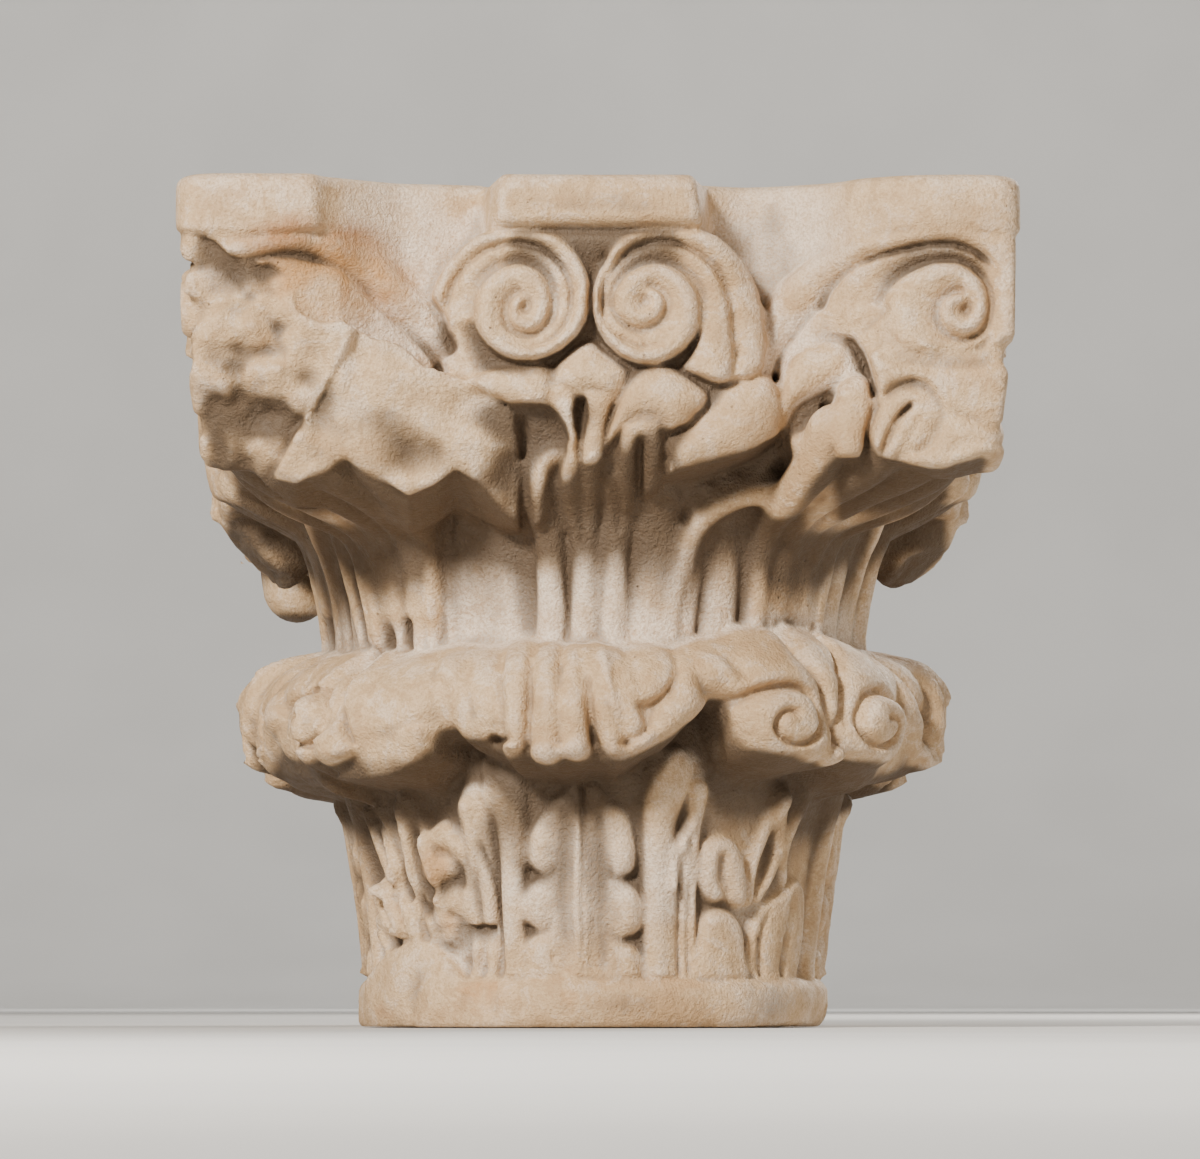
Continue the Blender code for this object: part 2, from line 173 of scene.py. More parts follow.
class Canvas:
    """A relief drawn flat: a height over a grid of points across and up."""

    def __init__(self, across, up, ground, unit=1.0):
        self.across = across
        self.up = up
        self.unit = unit
        self.height = np.array(np.broadcast_to(ground, (len(across), len(up))), dtype=float)

    def part(self, path, reach):
        """The part of the grid round a path, with its places across and up."""
        low, high = path.min(0) - reach, path.max(0) + reach
        cut = (slice(*np.searchsorted(self.across, (low[0], high[0]))),
               slice(*np.searchsorted(self.up, (low[1], high[1]))))
        return cut, self.across[cut[0]][:, None], self.up[cut[1]][None, :]

    def places(self):
        """Every place of the grid, for noise."""
        return np.stack(np.broadcast_arrays(self.across[:, None], self.up[None, :], 0), axis=-1)

    def placed(self, points):
        return [(p[0] * self.unit, p[1]) for p in points]

    def stroke(self, points, widths):
        """The part of the grid near a path, and there the distance as a share of the width."""
        path = smooth_path(self.placed(points))
        widths = np.interp(np.linspace(0, 1, len(path)), np.linspace(0, 1, len(widths)), widths)
        cut, a, u = self.part(path, widths.max() + 1)
        share = np.full((a.shape[0], u.shape[1]), 9.0)
        for (a0, u0), (a1, u1), w0, w1 in zip(path, path[1:], widths, widths[1:]):
            t, far = to_segment(a, u, a0, u0, a1, u1)
            share = np.minimum(share, far / (w0 + t * (w1 - w0)))
        return cut, share

    def ridge(self, points, widths, height):
        """A half-round strip that stands on the relief as it is."""
        cut, share = self.stroke(points, widths)
        raised = self.height[cut] + height * np.sqrt(np.clip(1 - share ** 2, 0, 1))
        self.height[cut] = np.where(share < 1, raised, self.height[cut])

    def groove(self, points, widths, depth):
        """A rounded valley, or with a negative depth a soft swelling."""
        cut, share = self.stroke(points, widths)
        self.height[cut] -= depth * np.clip(1 - share ** 2, 0, 1) ** 2

    def pillow(self, outline, height, width, level=None):
        """A plump form inside an outline, on the relief as it is or on a level of its own."""
        path = smooth_path(self.placed([outline[-1], *outline, outline[0], outline[1]]))
        path = path[5:-5]
        cut, a, u = self.part(path, 1)
        inside = np.zeros((a.shape[0], u.shape[1]), bool)
        far = np.full(inside.shape, 99.0)
        for (a0, u0), (a1, u1) in zip(path, path[1:]):
            if u0 != u1:
                inside ^= ((u0 > u) != (u1 > u)) & (a < a0 + (u - u0) * (a1 - a0) / (u1 - u0))
            far = np.minimum(far, to_segment(a, u, a0, u0, a1, u1)[1])
        dome = height * np.sqrt(1 - (1 - np.clip(far / width, 0, 1)) ** 2)
        base = self.height[cut] if level is None else table(level, u)
        self.height[cut] = np.where(inside, base + dome, self.height[cut])

    def ribbon(self, first, second, profile, crest):
        """A moulded strip between two edges. The profile runs from the first to the second."""
        first, second = (smooth_path(self.placed(edge), 40) for edge in (first, second))
        share = np.linspace(0, 1, 90)
        places = first[:, None] * (1 - share[None, :, None]) + second[:, None] * share[None, :, None]
        column = np.rint((places[..., 0] - self.across[0]) / (self.across[1] - self.across[0])).astype(int)
        row = np.rint((places[..., 1] - self.up[0]) / (self.up[1] - self.up[0])).astype(int)
        valid = (column >= 0) & (column < len(self.across)) & (row >= 0) & (row < len(self.up))
        value = np.broadcast_to(table(profile, share)[None, :], column.shape)
        self.height[column[valid], row[valid]] = crest[column[valid], row[valid]] + value[valid]

    def scroll(self, eye, radii, start, turn, crest, relief, marks):
        """A spiral band. radii are its outer edge at each eighth turn, crest its top surface."""
        a = self.across[:, None] - eye[0]
        u = self.up[None, :] - eye[1]
        reach = np.hypot(a, u)
        angle = (turn * (np.degrees(np.arctan2(u, a)) - start)) % 360
        last = (len(radii) - 1) * 45.0
        fine = smooth_path([(r, 0) for r in radii], 5)[:, 0]
        fine_at = np.linspace(0, last, len(fine))
        done = np.zeros(reach.shape, bool)
        for winding in range(int(last // 360) + 2):
            at = angle + 360 * winding
            outer = np.interp(at, fine_at, fine, right=0)
            inner = np.interp(at + 360, fine_at, fine, right=0)
            inside = (reach <= outer) & (reach > inner) & (at <= last)
            share = (outer - reach) / np.maximum(outer - inner, 1)
            if winding:
                band = table(PLAIN_BAND, share)
            else:
                mark = np.interp(at, (0, 110, 300), (marks[0], marks[1], marks[1]))
                past = (share - mark) / np.maximum(1 - mark, 0.1)
                moulded = np.where(share > mark, table(BAND_CHANNEL, past), table(BAND_ROLL, share / mark))
                late = smooth_step(230, 352, at)
                band = moulded * (1 - late) + table(PLAIN_BAND, share) * late
            self.height = np.where(inside, crest + relief * band, self.height)
            done |= inside
        button = (reach <= fine[-1] + 1.5) & ~done
        self.height = np.where(button, crest - relief * 0.25 * (reach / fine[-1]) ** 2, self.height)

    def draw(self, shapes, place=lambda across, up: (across, up)):
        """Draws rows of (tool, points, sizes...), each point moved by place."""
        for tool, points, *sizes in shapes:
            tool(self, [place(*p) for p in points], *sizes)


pillow, ridge, groove = Canvas.pillow, Canvas.ridge, Canvas.groove


class Stone:
    """Signed distances over the block. Inside the stone they are negative."""

    def __init__(self, xs, ys, zs):
        self.axes = (xs, ys, zs)
        self.field = np.full((len(xs), len(ys), len(zs)), FAR, np.float32)

    def window(self, low, high):
        return tuple(
            slice(max(np.searchsorted(axis, a) - 1, 0), min(np.searchsorted(axis, b) + 1, len(axis)))
            for axis, a, b in zip(self.axes, low, high)
        )

    def grid(self, cut):
        x, y, z = (axis[c].astype(np.float32) for axis, c in zip(self.axes, cut))
        return x[:, None, None], y[None, :, None], z[None, None, :]

    def chain(self, points, radii, margin):
        """Distance to a run of balls of changing radius, within a window round it."""
        path = smooth_path([(*p, r) for p, r in zip(points, radii)], 4)
        reach = path[:, 3].max() + margin
        outer = self.window(path[:, :3].min(0) - reach, path[:, :3].max(0) + reach)
        shape = tuple(c.stop - c.start for c in outer)
        near = np.full(shape, FAR, np.float32)
        for first, second in zip(path, path[1:]):
            low = np.minimum(first, second)[:3] - max(first[3], second[3]) - margin
            high = np.maximum(first, second)[:3] + max(first[3], second[3]) + margin
            cut = self.window(low, high)
            x, y, z = self.grid(cut)
            along = second[:3] - first[:3]
            length = float(along @ along) + 1e-9
            px, py, pz = x - first[0], y - first[1], z - first[2]
            t = np.clip((px * along[0] + py * along[1] + pz * along[2]) / length, 0, 1)
            far = np.sqrt((px - t * along[0]) ** 2 + (py - t * along[1]) ** 2 + (pz - t * along[2]) ** 2)
            far -= first[3] + t * (second[3] - first[3])
            inner = tuple(slice(c.start - o.start, c.stop - o.start) for c, o in zip(cut, outer))
            near[inner] = np.minimum(near[inner], far)
        return outer, near

    def join(self, cut, other, blend):
        self.field[cut] = -soft_max(-self.field[cut], -other, blend)

    def cut_back(self, cut, other, blend):
        self.field[cut] = soft_max(self.field[cut], other, blend)

    def add(self, points, radii, blend=3.0):
        cut, near = self.chain(points, radii, blend + 4)
        self.join(cut, near, blend)

    def carve(self, points, radii, blend=1.5):
        cut, near = self.chain(points, radii, blend + 4)
        self.cut_back(cut, -near, blend)

    def split(self, low, high, point, normal, blend, size, bite, seed):
        """Breaks off what lies beyond a rough plane, within a box."""
        cut = self.window(low, high)
        x, y, z = self.grid(cut)
        n = np.array(normal, float) / np.linalg.norm(normal)
        plane = (x - point[0]) * n[0] + (y - point[1]) * n[1] + (z - point[2]) * n[2]
        places = np.stack(np.broadcast_arrays(x, y, z), axis=-1)
        plane = plane + bite * rough(places, size, seed)
        keep = np.maximum.reduce([
            np.broadcast_to(v, plane.shape) for v in (
                low[0] - x, x - high[0], low[1] - y, y - high[1], low[2] - z, z - high[2])
        ])
        removal = np.maximum(-FAR, np.minimum(plane, -keep))
        self.cut_back(cut, removal.astype(np.float32), blend)


def recess(across):
    return table(RECESS, across)


def face_ground(across, up, broken_left=False):
    """Height of an upper face before carving: minus the depth of abacus, boss and core."""
    across = np.asarray(across)
    u = np.abs(across)[:, None]
    z = np.asarray(up)[None, :]
    hollow = recess(u)
    if broken_left:
        hollow = np.where(across[:, None] < 0, table(LEFT_RECESS, u), hollow)
    slab = -hollow
    slab = np.where(u < 42.5 + 2 * smooth_step(342, 322, z), np.maximum(slab, -2.0), slab)
    inset = 0.4 + 2 * smooth_step(96, 130, u) + 5 * smooth_step(300, 240, z)
    return np.where(z >= ABACUS_FOOT, slab, -hollow - inset)


HELIX_EYE = (20, 291)
HELIX = (46, 39, 31, 24, 21.5, 23, 25, 24, 21, 17.5, 15, 13.5, 13.5, 12, 10, 8, 7, 6, 5.5)
VOLUTE_EYE = (147, 288)
VOLUTE = (80, 43, 33, 28, 23.5, 22.5, 24, 29, 33, 24, 17.6, 12.5, 9.6, 10, 11, 10.8, 10, 8, 6)
LEFT_HELIX_EYE = (-29, 289)
LEFT_HELIX = (
    40, 37, 34, 30.5, 27, 23.5, 21.5, 21, 20.6, 19.8, 18, 14.4, 11.4, 10.5, 10.8, 9.4, 7.2, 6.2, 5.6,
)
ROLL = ((0, -3.2), (0.12, -1), (0.35, 0), (0.65, -2), (0.92, -7), (1, -7))
CHANNEL = ((0, -2), (0.35, -3.2), (1, -7))


def helix_crest(canvas):
    u = np.abs(canvas.across[:, None])
    return -(3.5 + 0.04 * u + 12 * smooth_step(44, 68, u)) + 0 * canvas.up[None, :]


def volute_crest(canvas):
    return -(1.4 + 0.72 * recess(np.abs(canvas.across[:, None]))) + 0 * canvas.up[None, :]


# Strips that carry the spirals on below their eyes: outer edge, inner edge
HELIX_STEM = (
    ((66, 292), (67, 279), (66.5, 268), (64, 259)),
    ((51.5, 292), (53, 279), (54, 269), (51, 259)),
)
HELIX_CHANNEL = (
    HELIX_STEM[1],
    ((41, 292), (41.5, 282), (40, 273), (34.5, 264.5)),
)
VOLUTE_STEM = (
    ((67, 289), (66.5, 280), (66.5, 271), (67.5, 260.5)),
    ((89.5, 289), (81, 278.5), (75.5, 271), (72, 264.5)),
)
VOLUTE_CHANNEL = (
    VOLUTE_STEM[1],
    ((117, 289), (105.5, 278), (88, 276), (75, 264.5)),
)

# Foliage of one half face under the spirals, from its middle out to its corner
SPIRAL_GAP = (
    (pillow, ((-52, 315), (-39, 321.5), (-1, 321.5), (37, 321.5), (50.5, 315), (53, 291), (53, 257.5),
        (25, 256), (-1, 256), (-39, 256), (-51, 257.5), (-53, 291)), 0, 5,
        ((250, -20), (280, -18), (300, -15), (312, -9), (320, -6))),
)
LEFT_GAP = (
    (pillow, ((-67, 292.5), (-57, 299), (-46.5, 306), (-45, 291), (-44, 279), (-37, 268.5), (-47, 260.5),
        (-58.5, 260), (-63, 275)), 0, 5, ((255, -21), (300, -17))),
)
HALF_LEAF = (
    (pillow, ((-1, 271), (17, 264.5), (41, 257.5), (73.5, 257.5), (77, 251), (73.5, 239), (65, 234),
        (55, 228), (37, 223), (17, 219), (-1, 216.5)), 2, 6, ((200, -24), (240, -20), (270, -18))),
    (pillow, ((107, 266), (115, 273), (133, 271), (155, 273), (171, 276), (173, 263), (171, 251),
        (169, 235), (164, 224.5), (151, 220), (135, 223), (123, 228), (113, 225.5), (106.5, 227),
        (108, 241), (110.5, 253)), 4, 10, ((200, -13), (240, -12), (275, -7))),
    (pillow, ((8, 252), (11, 257.5), (15, 263), (21.5, 266), (29.5, 265.5), (37, 260.5), (42.5, 256),
        (46, 252), (44, 249), (41, 246), (37, 241.5), (30.5, 238), (24, 240), (19, 243), (13.5, 243),
        (9, 239), (5, 235), (2, 231.5), (2, 236), (5, 243)), 11, 17, ((230, -19), (270, -17))),
    (pillow, ((37, 243), (41, 248), (44, 252), (46.5, 257.5), (52, 260.5), (60, 262), (68, 263.5),
        (73, 257.5), (74, 249), (73, 241), (67, 234), (60, 230), (49.5, 228), (41, 226), (36, 224),
        (31, 226), (28, 231), (28, 236.5), (32, 240)), 12, 20, ((230, -24), (270, -25))),
    (groove, ((49.5, 249), (52, 239), (56, 229)), (2.4, 2.4, 2), 2.2),
    (groove, ((41.5, 246), (36, 238), (37, 228.5)), (2.4, 2.6, 2), 1.6),
    (pillow, ((72.5, 260), (75.5, 268), (81.5, 274), (91, 278), (101, 277.5), (107, 271), (110.5, 261.5),
        (111.5, 252.5), (105, 250), (96, 256), (87, 254), (80, 250), (76, 240.5), (72, 245)), 11, 16,
        ((240, -31), (280, -31))),
    (pillow, ((96, 256.5), (103, 262), (109, 260.5), (111.5, 251), (109, 239), (106, 228.5), (100, 226.5),
        (95, 228.5), (93.5, 239), (95, 249)), 7, 7, ((225, -17), (265, -20))),
    (pillow, ((80, 250), (87, 254), (96, 256), (95, 249), (93.5, 239), (94.5, 228.5), (91, 223), (79, 223),
        (75, 235), (76, 243)), 0, 5, ((225, -33), (265, -28))),
    (pillow, ((79, 239), (85.5, 240), (90, 235), (87, 230.5), (81, 229.5), (77, 232.5)), 6, 5,
        ((225, -32), (265, -32))),
    (pillow, ((108, 226), (109, 238), (112, 248.5), (116, 256.5), (123, 260), (131, 259.5), (137, 254),
        (140, 246), (137, 239), (131.5, 232.5), (123, 228), (114.5, 226)), 7, 8, ((225, -15), (265, -15))),
    (groove, ((112, 226), (117, 236.5), (121, 244.5), (126, 250)), (2.6, 2.2, 1.6), 8),
    (groove, ((120, 228), (125.5, 236.5), (129.5, 243)), (1.4, 1.4, 1.0), 2.5),
    (groove, ((108, 228), (109.5, 239), (112, 249.5), (110.5, 257.5)), (2.0, 2.2, 1.8, 1.2), 6),
    (pillow, ((138.5, 244), (145, 247), (155, 243), (162.5, 239), (163, 228), (157.5, 221.5), (145, 220),
        (135, 223), (124, 228), (131, 232), (137, 238)), 5, 8, ((220, -12), (265, -11))),
    (groove, ((141.5, 232), (147, 234.5), (155, 235), (161, 232.5)), (1.6, 1.6, 1.4), 2),
    (groove, ((115, 270), (135, 266), (155, 267), (170.5, 271)), (5, 7, 7, 5), 2.5),
)

# Middle of a whole leaf: lobes either side of a tip that curls over
WHOLE_TIP = (
    (pillow, ((0, 277), (12, 270), (15, 258), (11, 247), (14, 234), (9, 222), (0, 217), (-9, 222),
        (-14, 234), (-11, 247), (-15, 258), (-12, 270)), 9, 12, ((215, -18), (250, -11), (280, -13))),
    (groove, ((0, 272), (0, 240), (0, 219)), (1.8, 1.8, 1.4), 2.5),
    (groove, ((17, 232), (20, 242), (16, 250)), (2.6, 2.4, 2), 5),
    (groove, ((-17, 232), (-20, 242), (-16, 250)), (2.6, 2.4, 2), 5),
)

# Stems under the middle of a leaf: how far behind the face they lie at each height
FAN_DEPTH = ((200, -62), (205, -55), (212, -48), (219, -39), (226, -30), (232, -24), (240, -19), (250, -16))
FRONT_FAN = (
    (pillow, ((-36, 250), (-15, 254), (11, 252), (27, 241), (28, 223), (22.5, 216), (17.5, 208), (15, 193),
        (-29, 193), (-30.5, 211), (-33, 223)), 0, 5, FAN_DEPTH),
)
FRONT_MIDDLE = (
    (pillow, ((-57, 257), (-47, 262.5), (-35, 266.5), (-23, 268), (-16.5, 263), (-17, 251), (-23, 245.5),
        (-31, 248), (-39, 252), (-47, 254), (-54.5, 252.5)), 8, 16, ((230, -19), (270, -18))),
    (pillow, ((-18, 257), (-17, 265), (-10.5, 272), (-2.5, 276), (2.5, 272), (9.5, 267), (13, 263),
        (9, 254), (5, 248.5), (0, 251.5), (-5, 253.5), (-10.5, 252), (-14.5, 250.5), (-17, 251.5)), 10, 14,
        ((240, -19), (280, -17))),
    (pillow, ((-6, 256), (0, 256.5), (6, 252), (4.5, 243), (3, 235), (2, 228.5), (-2.5, 226.5), (-6.5, 228),
        (-6, 239), (-5.5, 247)), 4, 5, ((220, -28), (232, -21), (260, -15))),
    (pillow, ((-19.5, 259), (-13, 258), (-8.5, 252.5), (-9, 243), (-9.5, 235), (-13, 232.5), (-17, 239),
        (-19, 249)), 4, 5, ((225, -21), (265, -17))),
    (pillow, ((-9, 250.5), (-7, 252.5), (-5, 251.5), (-5.5, 243), (-7, 236.5), (-9, 237.5)), 0, 2,
        ((225, -26), (265, -24))),
    (groove, ((6.5, 250), (3, 240), (1.5, 231)), (1.6, 1.6, 1.4), 3),
    (pillow, ((-37, 249), (-27, 251), (-18.5, 249.5), (-13, 240), (-12, 232), (-15, 223), (-18.5, 211),
        (-24.5, 201.5), (-30.5, 211), (-33, 223), (-37, 235)), 0, 6,
        ((205, -50), (225, -38), (245, -26), (265, -21))),
    (ridge, ((11.5, 211), (11.5, 229), (13.5, 237.5), (18, 240), (22.5, 236.5), (23, 227), (21.5, 217.5)),
        (3.4, 4.2, 4.6, 4.6, 4.6, 4.4, 3.6), 7),
    (groove, ((17, 236), (17, 225), (17, 214)), (1.6, 1.8, 1.4), 5),
    (ridge, ((-23, 203), (-23.5, 218), (-21, 227), (-17, 231), (-12, 228), (-11, 218), (-11, 203)),
        (3.4, 4.0, 4.2, 4.4, 4.4, 4.2, 3.6), 6.5),
    (groove, ((-19.5, 226), (-18, 215), (-15.5, 203)), (1.4, 1.6, 1.4), 4.5),
    (ridge, ((-2.5, 193), (-3, 211), (-3, 226)), (4.6, 4.4, 4.0), 6),
    (ridge, ((5.5, 193), (5.5, 211), (5.5, 221.5)), (3.6, 3.4, 3.2), 5),
    (groove, ((-30.5, 246), (-29, 239), (-30, 231)), (2.0, 3.0, 2.0), 8),
)

# The corner volute that is left on the broken side
LEFT_VOLUTE_ROLL = (
    ((-157, 310), (-143, 315.5), (-125, 318), (-107, 318), (-89, 312), (-74.5, 299), (-64, 289),
        (-56.5, 272)),
    ((-153, 304), (-140, 306), (-127, 308), (-115, 306), (-101, 301), (-86.5, 287.5), (-75, 277.5),
        (-65.5, 267)),
)
LEFT_VOLUTE_CHANNEL = (
    LEFT_VOLUTE_ROLL[1],
    ((-150.5, 291), (-141, 287), (-129, 286), (-119, 284), (-105, 281.5), (-93, 273), (-81, 266),
        (-69.5, 262)),
)


def draw_half(canvas, side):
    """Carves one whole half of an upper face. side is -1 for the half at negative across."""
    def place(across, up):
        return side * across, up

    def strip(edges, profile, crest):
        canvas.ribbon(*([place(*p) for p in edge] for edge in edges), profile, crest)

    before = canvas.height
    half = canvas.across[:, None] * side > -2.5
    facing = 1 if side > 0 else -1
    start = 180 if side > 0 else 0
    canvas.scroll(place(*VOLUTE_EYE), VOLUTE, start, -facing, volute_crest(canvas), 9.5, (0.5, 0.62))
    canvas.scroll(place(*HELIX_EYE), HELIX, 180 - start, facing, helix_crest(canvas), 8, (0.58, 0.55))
    canvas.height = np.where(half, canvas.height, before)
    strip(VOLUTE_STEM, ROLL, volute_crest(canvas))
    strip(VOLUTE_CHANNEL, CHANNEL, volute_crest(canvas))
    strip(HELIX_STEM, ROLL, helix_crest(canvas))
    strip(HELIX_CHANNEL, CHANNEL, helix_crest(canvas))
    canvas.groove([place(2.2, 276), place(2.2, 300), place(3, 310)], [1.8, 1.8], 4)
    rounded = half & (np.abs(canvas.across[:, None]) > 150) & (canvas.up[None, :] < ABACUS_FOOT)
    plain = smooth_step(154, 164, np.abs(canvas.across[:, None]))
    smooth = canvas.height * (1 - plain) + (volute_crest(canvas) - 1) * plain
    canvas.height = np.where(rounded, smooth, canvas.height)
    canvas.draw(HALF_LEAF, place)


def keep_slab(canvas, broken_left=False):
    """Brings the abacus back in front of whatever was drawn across it."""
    ground = blur(face_ground(canvas.across, canvas.up, broken_left), 14)
    share = smooth_step(ABACUS_FOOT - 1, ABACUS_FOOT + 5, canvas.up)[None, :]
    canvas.height = canvas.height * (1 - share) + ground * share


def whole_face():
    """The relief of one half of an undamaged face."""
    canvas = Canvas(np.arange(-40, 171, PITCH), np.arange(200, 344, PITCH), 0)
    canvas.height = face_ground(canvas.across, canvas.up)
    canvas.draw(SPIRAL_GAP)
    draw_half(canvas, 1)
    canvas.draw(WHOLE_TIP)
    keep_slab(canvas)
    return canvas


def broken_face():
    """The damaged end face: its right half is whole, its left half is broken."""
    canvas = Canvas(np.arange(-172, 173, PITCH), np.arange(200, 344, PITCH), 0)
    canvas.height = face_ground(canvas.across, canvas.up, True)
    canvas.draw(SPIRAL_GAP)
    canvas.draw(LEFT_GAP)
    draw_half(canvas, 1)
    canvas.draw(FRONT_FAN)
    before = canvas.height
    canvas.scroll(LEFT_HELIX_EYE, LEFT_HELIX, 195, -1, helix_crest(canvas), 8, (0.42, 0.55))
    canvas.height = np.where(canvas.across[:, None] < -1.5, canvas.height, before)
    for edges, profile in ((LEFT_VOLUTE_ROLL, ROLL), (LEFT_VOLUTE_CHANNEL, CHANNEL)):
        canvas.ribbon(*edges, profile, volute_crest(canvas))
    canvas.draw(HALF_LEAF[2:4])
    canvas.draw(FRONT_MIDDLE)
    keep_slab(canvas, True)
    return canvas


def break_left(canvas):
    """Old breaks across the left of the end face, as rough facets behind the carving."""
    a = canvas.across[:, None]
    z = canvas.up[None, :]
    places = canvas.places()
    top_edge = table(BREAK_TOP, a) + 1.2 * noise(places, 9, 5)
    low_facet = 12 + 0.24 * np.clip(262 - z, 0, 60) + 0.06 * np.clip(a + 95, 0, 70)
    high_facet = 6 + 0.10 * (306 - z) - 0.03 * (a + 150)
    split_at = -110 + 0.55 * (z - 257)
    facet = np.where(a < split_at, high_facet, np.maximum(low_facet, high_facet - 4))
    under = smooth_step(258, 247, z + 0.25 * (a + 140)) * smooth_step(1, -2, a - split_at)
    facet = facet + under * (9 + 0.25 * np.clip(252 - z, 0, 40))
    facet = facet + 12 * smooth_step(-52, -31, a) * smooth_step(250, 222, z)
    crumbled = smooth_step(-112, -128, a + 0.2 * (z - 270))
    facet = facet + 2.2 * rough(places, 26, 11, 4) + 3.2 * np.abs(noise(places, 19, 13))
    crumbled = crumbled * smooth_step(312, 300, z)
    facet = facet + crumbled * (2.2 * rough(places, 8, 17, 3) + 5 * np.clip(noise(places, 9, 23) - 0.2, 0, 1))
    broken = (z < top_edge) & (a < -31)
    worn = np.where(broken, np.minimum(canvas.height, -facet), canvas.height)
    canvas.height = np.where(broken, np.maximum(worn, -facet), worn)


BREAK_TOP = (
    (-172, 318), (-156, 317), (-149, 311), (-140, 307), (-130, 307), (-124, 300), (-121, 288), (-110, 281),
    (-104, 283), (-90, 277), (-79, 275), (-70, 266), (-60, 262), (-50, 258), (-40, 252), (-34, 248),
    (-31, 232),
)
LEFT_RECESS = ((0, 45), (44, 41), (79, 35), (95, 22), (106, 12), (109, 9), (112, 1), (170, 0))

# Lower edge of the leaves along a half face, and of the broken leaf along the left of the front
LEAF_FOOT = (
    (0, 222), (27, 222), (37, 224), (49, 228), (59, 230), (67, 234.6), (73, 239), (77, 240), (80, 232),
    (88, 231), (90, 252), (94, 252), (95, 228), (106, 228), (108, 240), (113, 229), (121, 227), (137, 224),
    (145, 221), (172, 222),
)
FRONT_FOOT = (
    (-172, 241), (-169, 241), (-156, 229), (-143, 220), (-130, 221), (-122, 219), (-112, 224), (-101, 229),
    (-89, 222), (-76, 214), (-66, 218), (-57, 224.5), (-46, 219), (-37, 214), (-31, 211), (-29, 204),
    (15, 204), (20, 217), (31, 219),
)


def leaf_foot(across, front):
    """Lower edge of the upper leaves along a face."""
    foot = table(LEAF_FOOT, np.abs(across))
    return np.where(across < 31, table(FRONT_FOOT, across), foot) if front else foot


def blur(values, passes):
    """A small soft brush over a canvas, which rounds steps as wear does."""
    for _ in range(2 * passes):
        padded = np.pad(values, ((1, 1), (0, 0)), mode="edge")
        values = (0.25 * padded[:-2] + 0.5 * values + 0.25 * padded[2:]).T
    return values


def sample(canvas, across, up):
    """Bilinear reading of a canvas at every pair of an across and an up value."""
    a = np.clip((across - canvas.across[0]) / (canvas.across[1] - canvas.across[0]), 0,
                len(canvas.across) - 1.001)
    u = np.clip((up - canvas.up[0]) / (canvas.up[1] - canvas.up[0]), 0, len(canvas.up) - 1.001)
    ia, iu = a.astype(int), u.astype(int)
    ta, tu = (a - ia)[:, None], (u - iu)[None, :]
    height = canvas.height
    low = height[np.ix_(ia, iu)] * (1 - ta) + height[np.ix_(ia + 1, iu)] * ta
    high = height[np.ix_(ia, iu + 1)] * (1 - ta) + height[np.ix_(ia + 1, iu + 1)] * ta
    return low * (1 - tu) + high * tu


def end_field(stone, canvas, mirrored, sign, up):
    """Signed distance to one carved end, from its relief."""
    xs, ys, _ = stone.axes
    height = sample(canvas, np.abs(xs) if mirrored else xs, up)
    slope = np.hypot(*np.gradient(height, xs, up))
    scale = (1 / np.sqrt(1 + np.minimum(slope, 5) ** 2)).astype(np.float32)
    depth = (HALF_LENGTH - sign * ys).astype(np.float32)
    return (-height[:, None, :].astype(np.float32) - depth[None, :, None]) * scale[:, None, :]


def upper_block(stone, whole, broken):
    """Abacus, spirals and upper leaves: four carved faces meeting."""
    xs, ys, zs = stone.axes
    cut_z = slice(np.searchsorted(zs, 201), len(zs))
    up = zs[cut_z]
    along = np.abs(np.abs(ys) - BELL_Y)
    along = np.where(np.abs(ys) < BELL_Y, along * HALF_WIDTH / BELL_Y, along)
    side = sample(whole, along, up)
    slope_along = np.gradient(side, axis=0) / np.gradient(ys)[:, None]
    slope = np.hypot(slope_along, np.gradient(side, up, axis=1))
    scale = (1 / np.sqrt(1 + np.minimum(slope, 5) ** 2)).astype(np.float32)
    depth = (HALF_WIDTH - np.abs(xs)).astype(np.float32)
    sides = (-side[None].astype(np.float32) - depth[:, None, None]) * scale[None]
    ends = np.maximum(end_field(stone, broken, False, -1, up), end_field(stone, whole, True, 1, up))
    blend = (5 + 9 * smooth_step(ABACUS_FOOT - 3, ABACUS_FOOT + 6, up))[None, None, :].astype(np.float32)
    block = soft_max(ends, sides, blend)

    from_ends = [np.abs(HALF_LENGTH + sign * ys)[None, :] + 0 * xs[:, None] for sign in (1, -1)]
    from_side = (HALF_WIDTH - np.abs(xs))[:, None] + 0 * ys[None, :]
    nearest = np.argmin([*from_ends, from_side], axis=0)
    feet = [leaf_foot(xs, True)[:, None] + 0 * ys[None, :], leaf_foot(xs, False)[:, None] + 0 * ys[None, :],
            leaf_foot(along, False)[None, :] + 0 * xs[:, None]]
    foot = np.choose(nearest, feet)
    inward = np.min([*from_ends, from_side], axis=0)
    foot = foot - 0.5 * np.clip(inward - 30, 0, 26)
    block = soft_max(block, foot[:, :, None].astype(np.float32) - up[None, None, :].astype(np.float32), 3)
    stone.field[:, :, cut_z] = np.minimum(stone.field[:, :, cut_z], block)


def clear_break(stone, broken):
    """Takes away what stems put in front of the break on the damaged end."""
    xs, ys, zs = stone.axes
    low, high = np.searchsorted(zs, 222), len(zs)
    left, near = np.searchsorted(xs, -30), np.searchsorted(ys, -200)
    up = zs[low:high]
    field = end_field(stone, broken, False, -1, up)[:left, :near]
    above = up[None, :] > leaf_foot(xs[:left], True)[:, None] - 1
    field = np.where(above[:, None, :], field, -FAR)
    part = stone.field[:left, :near, low:high]
    stone.field[:left, :near, low:high] = np.maximum(part, field)


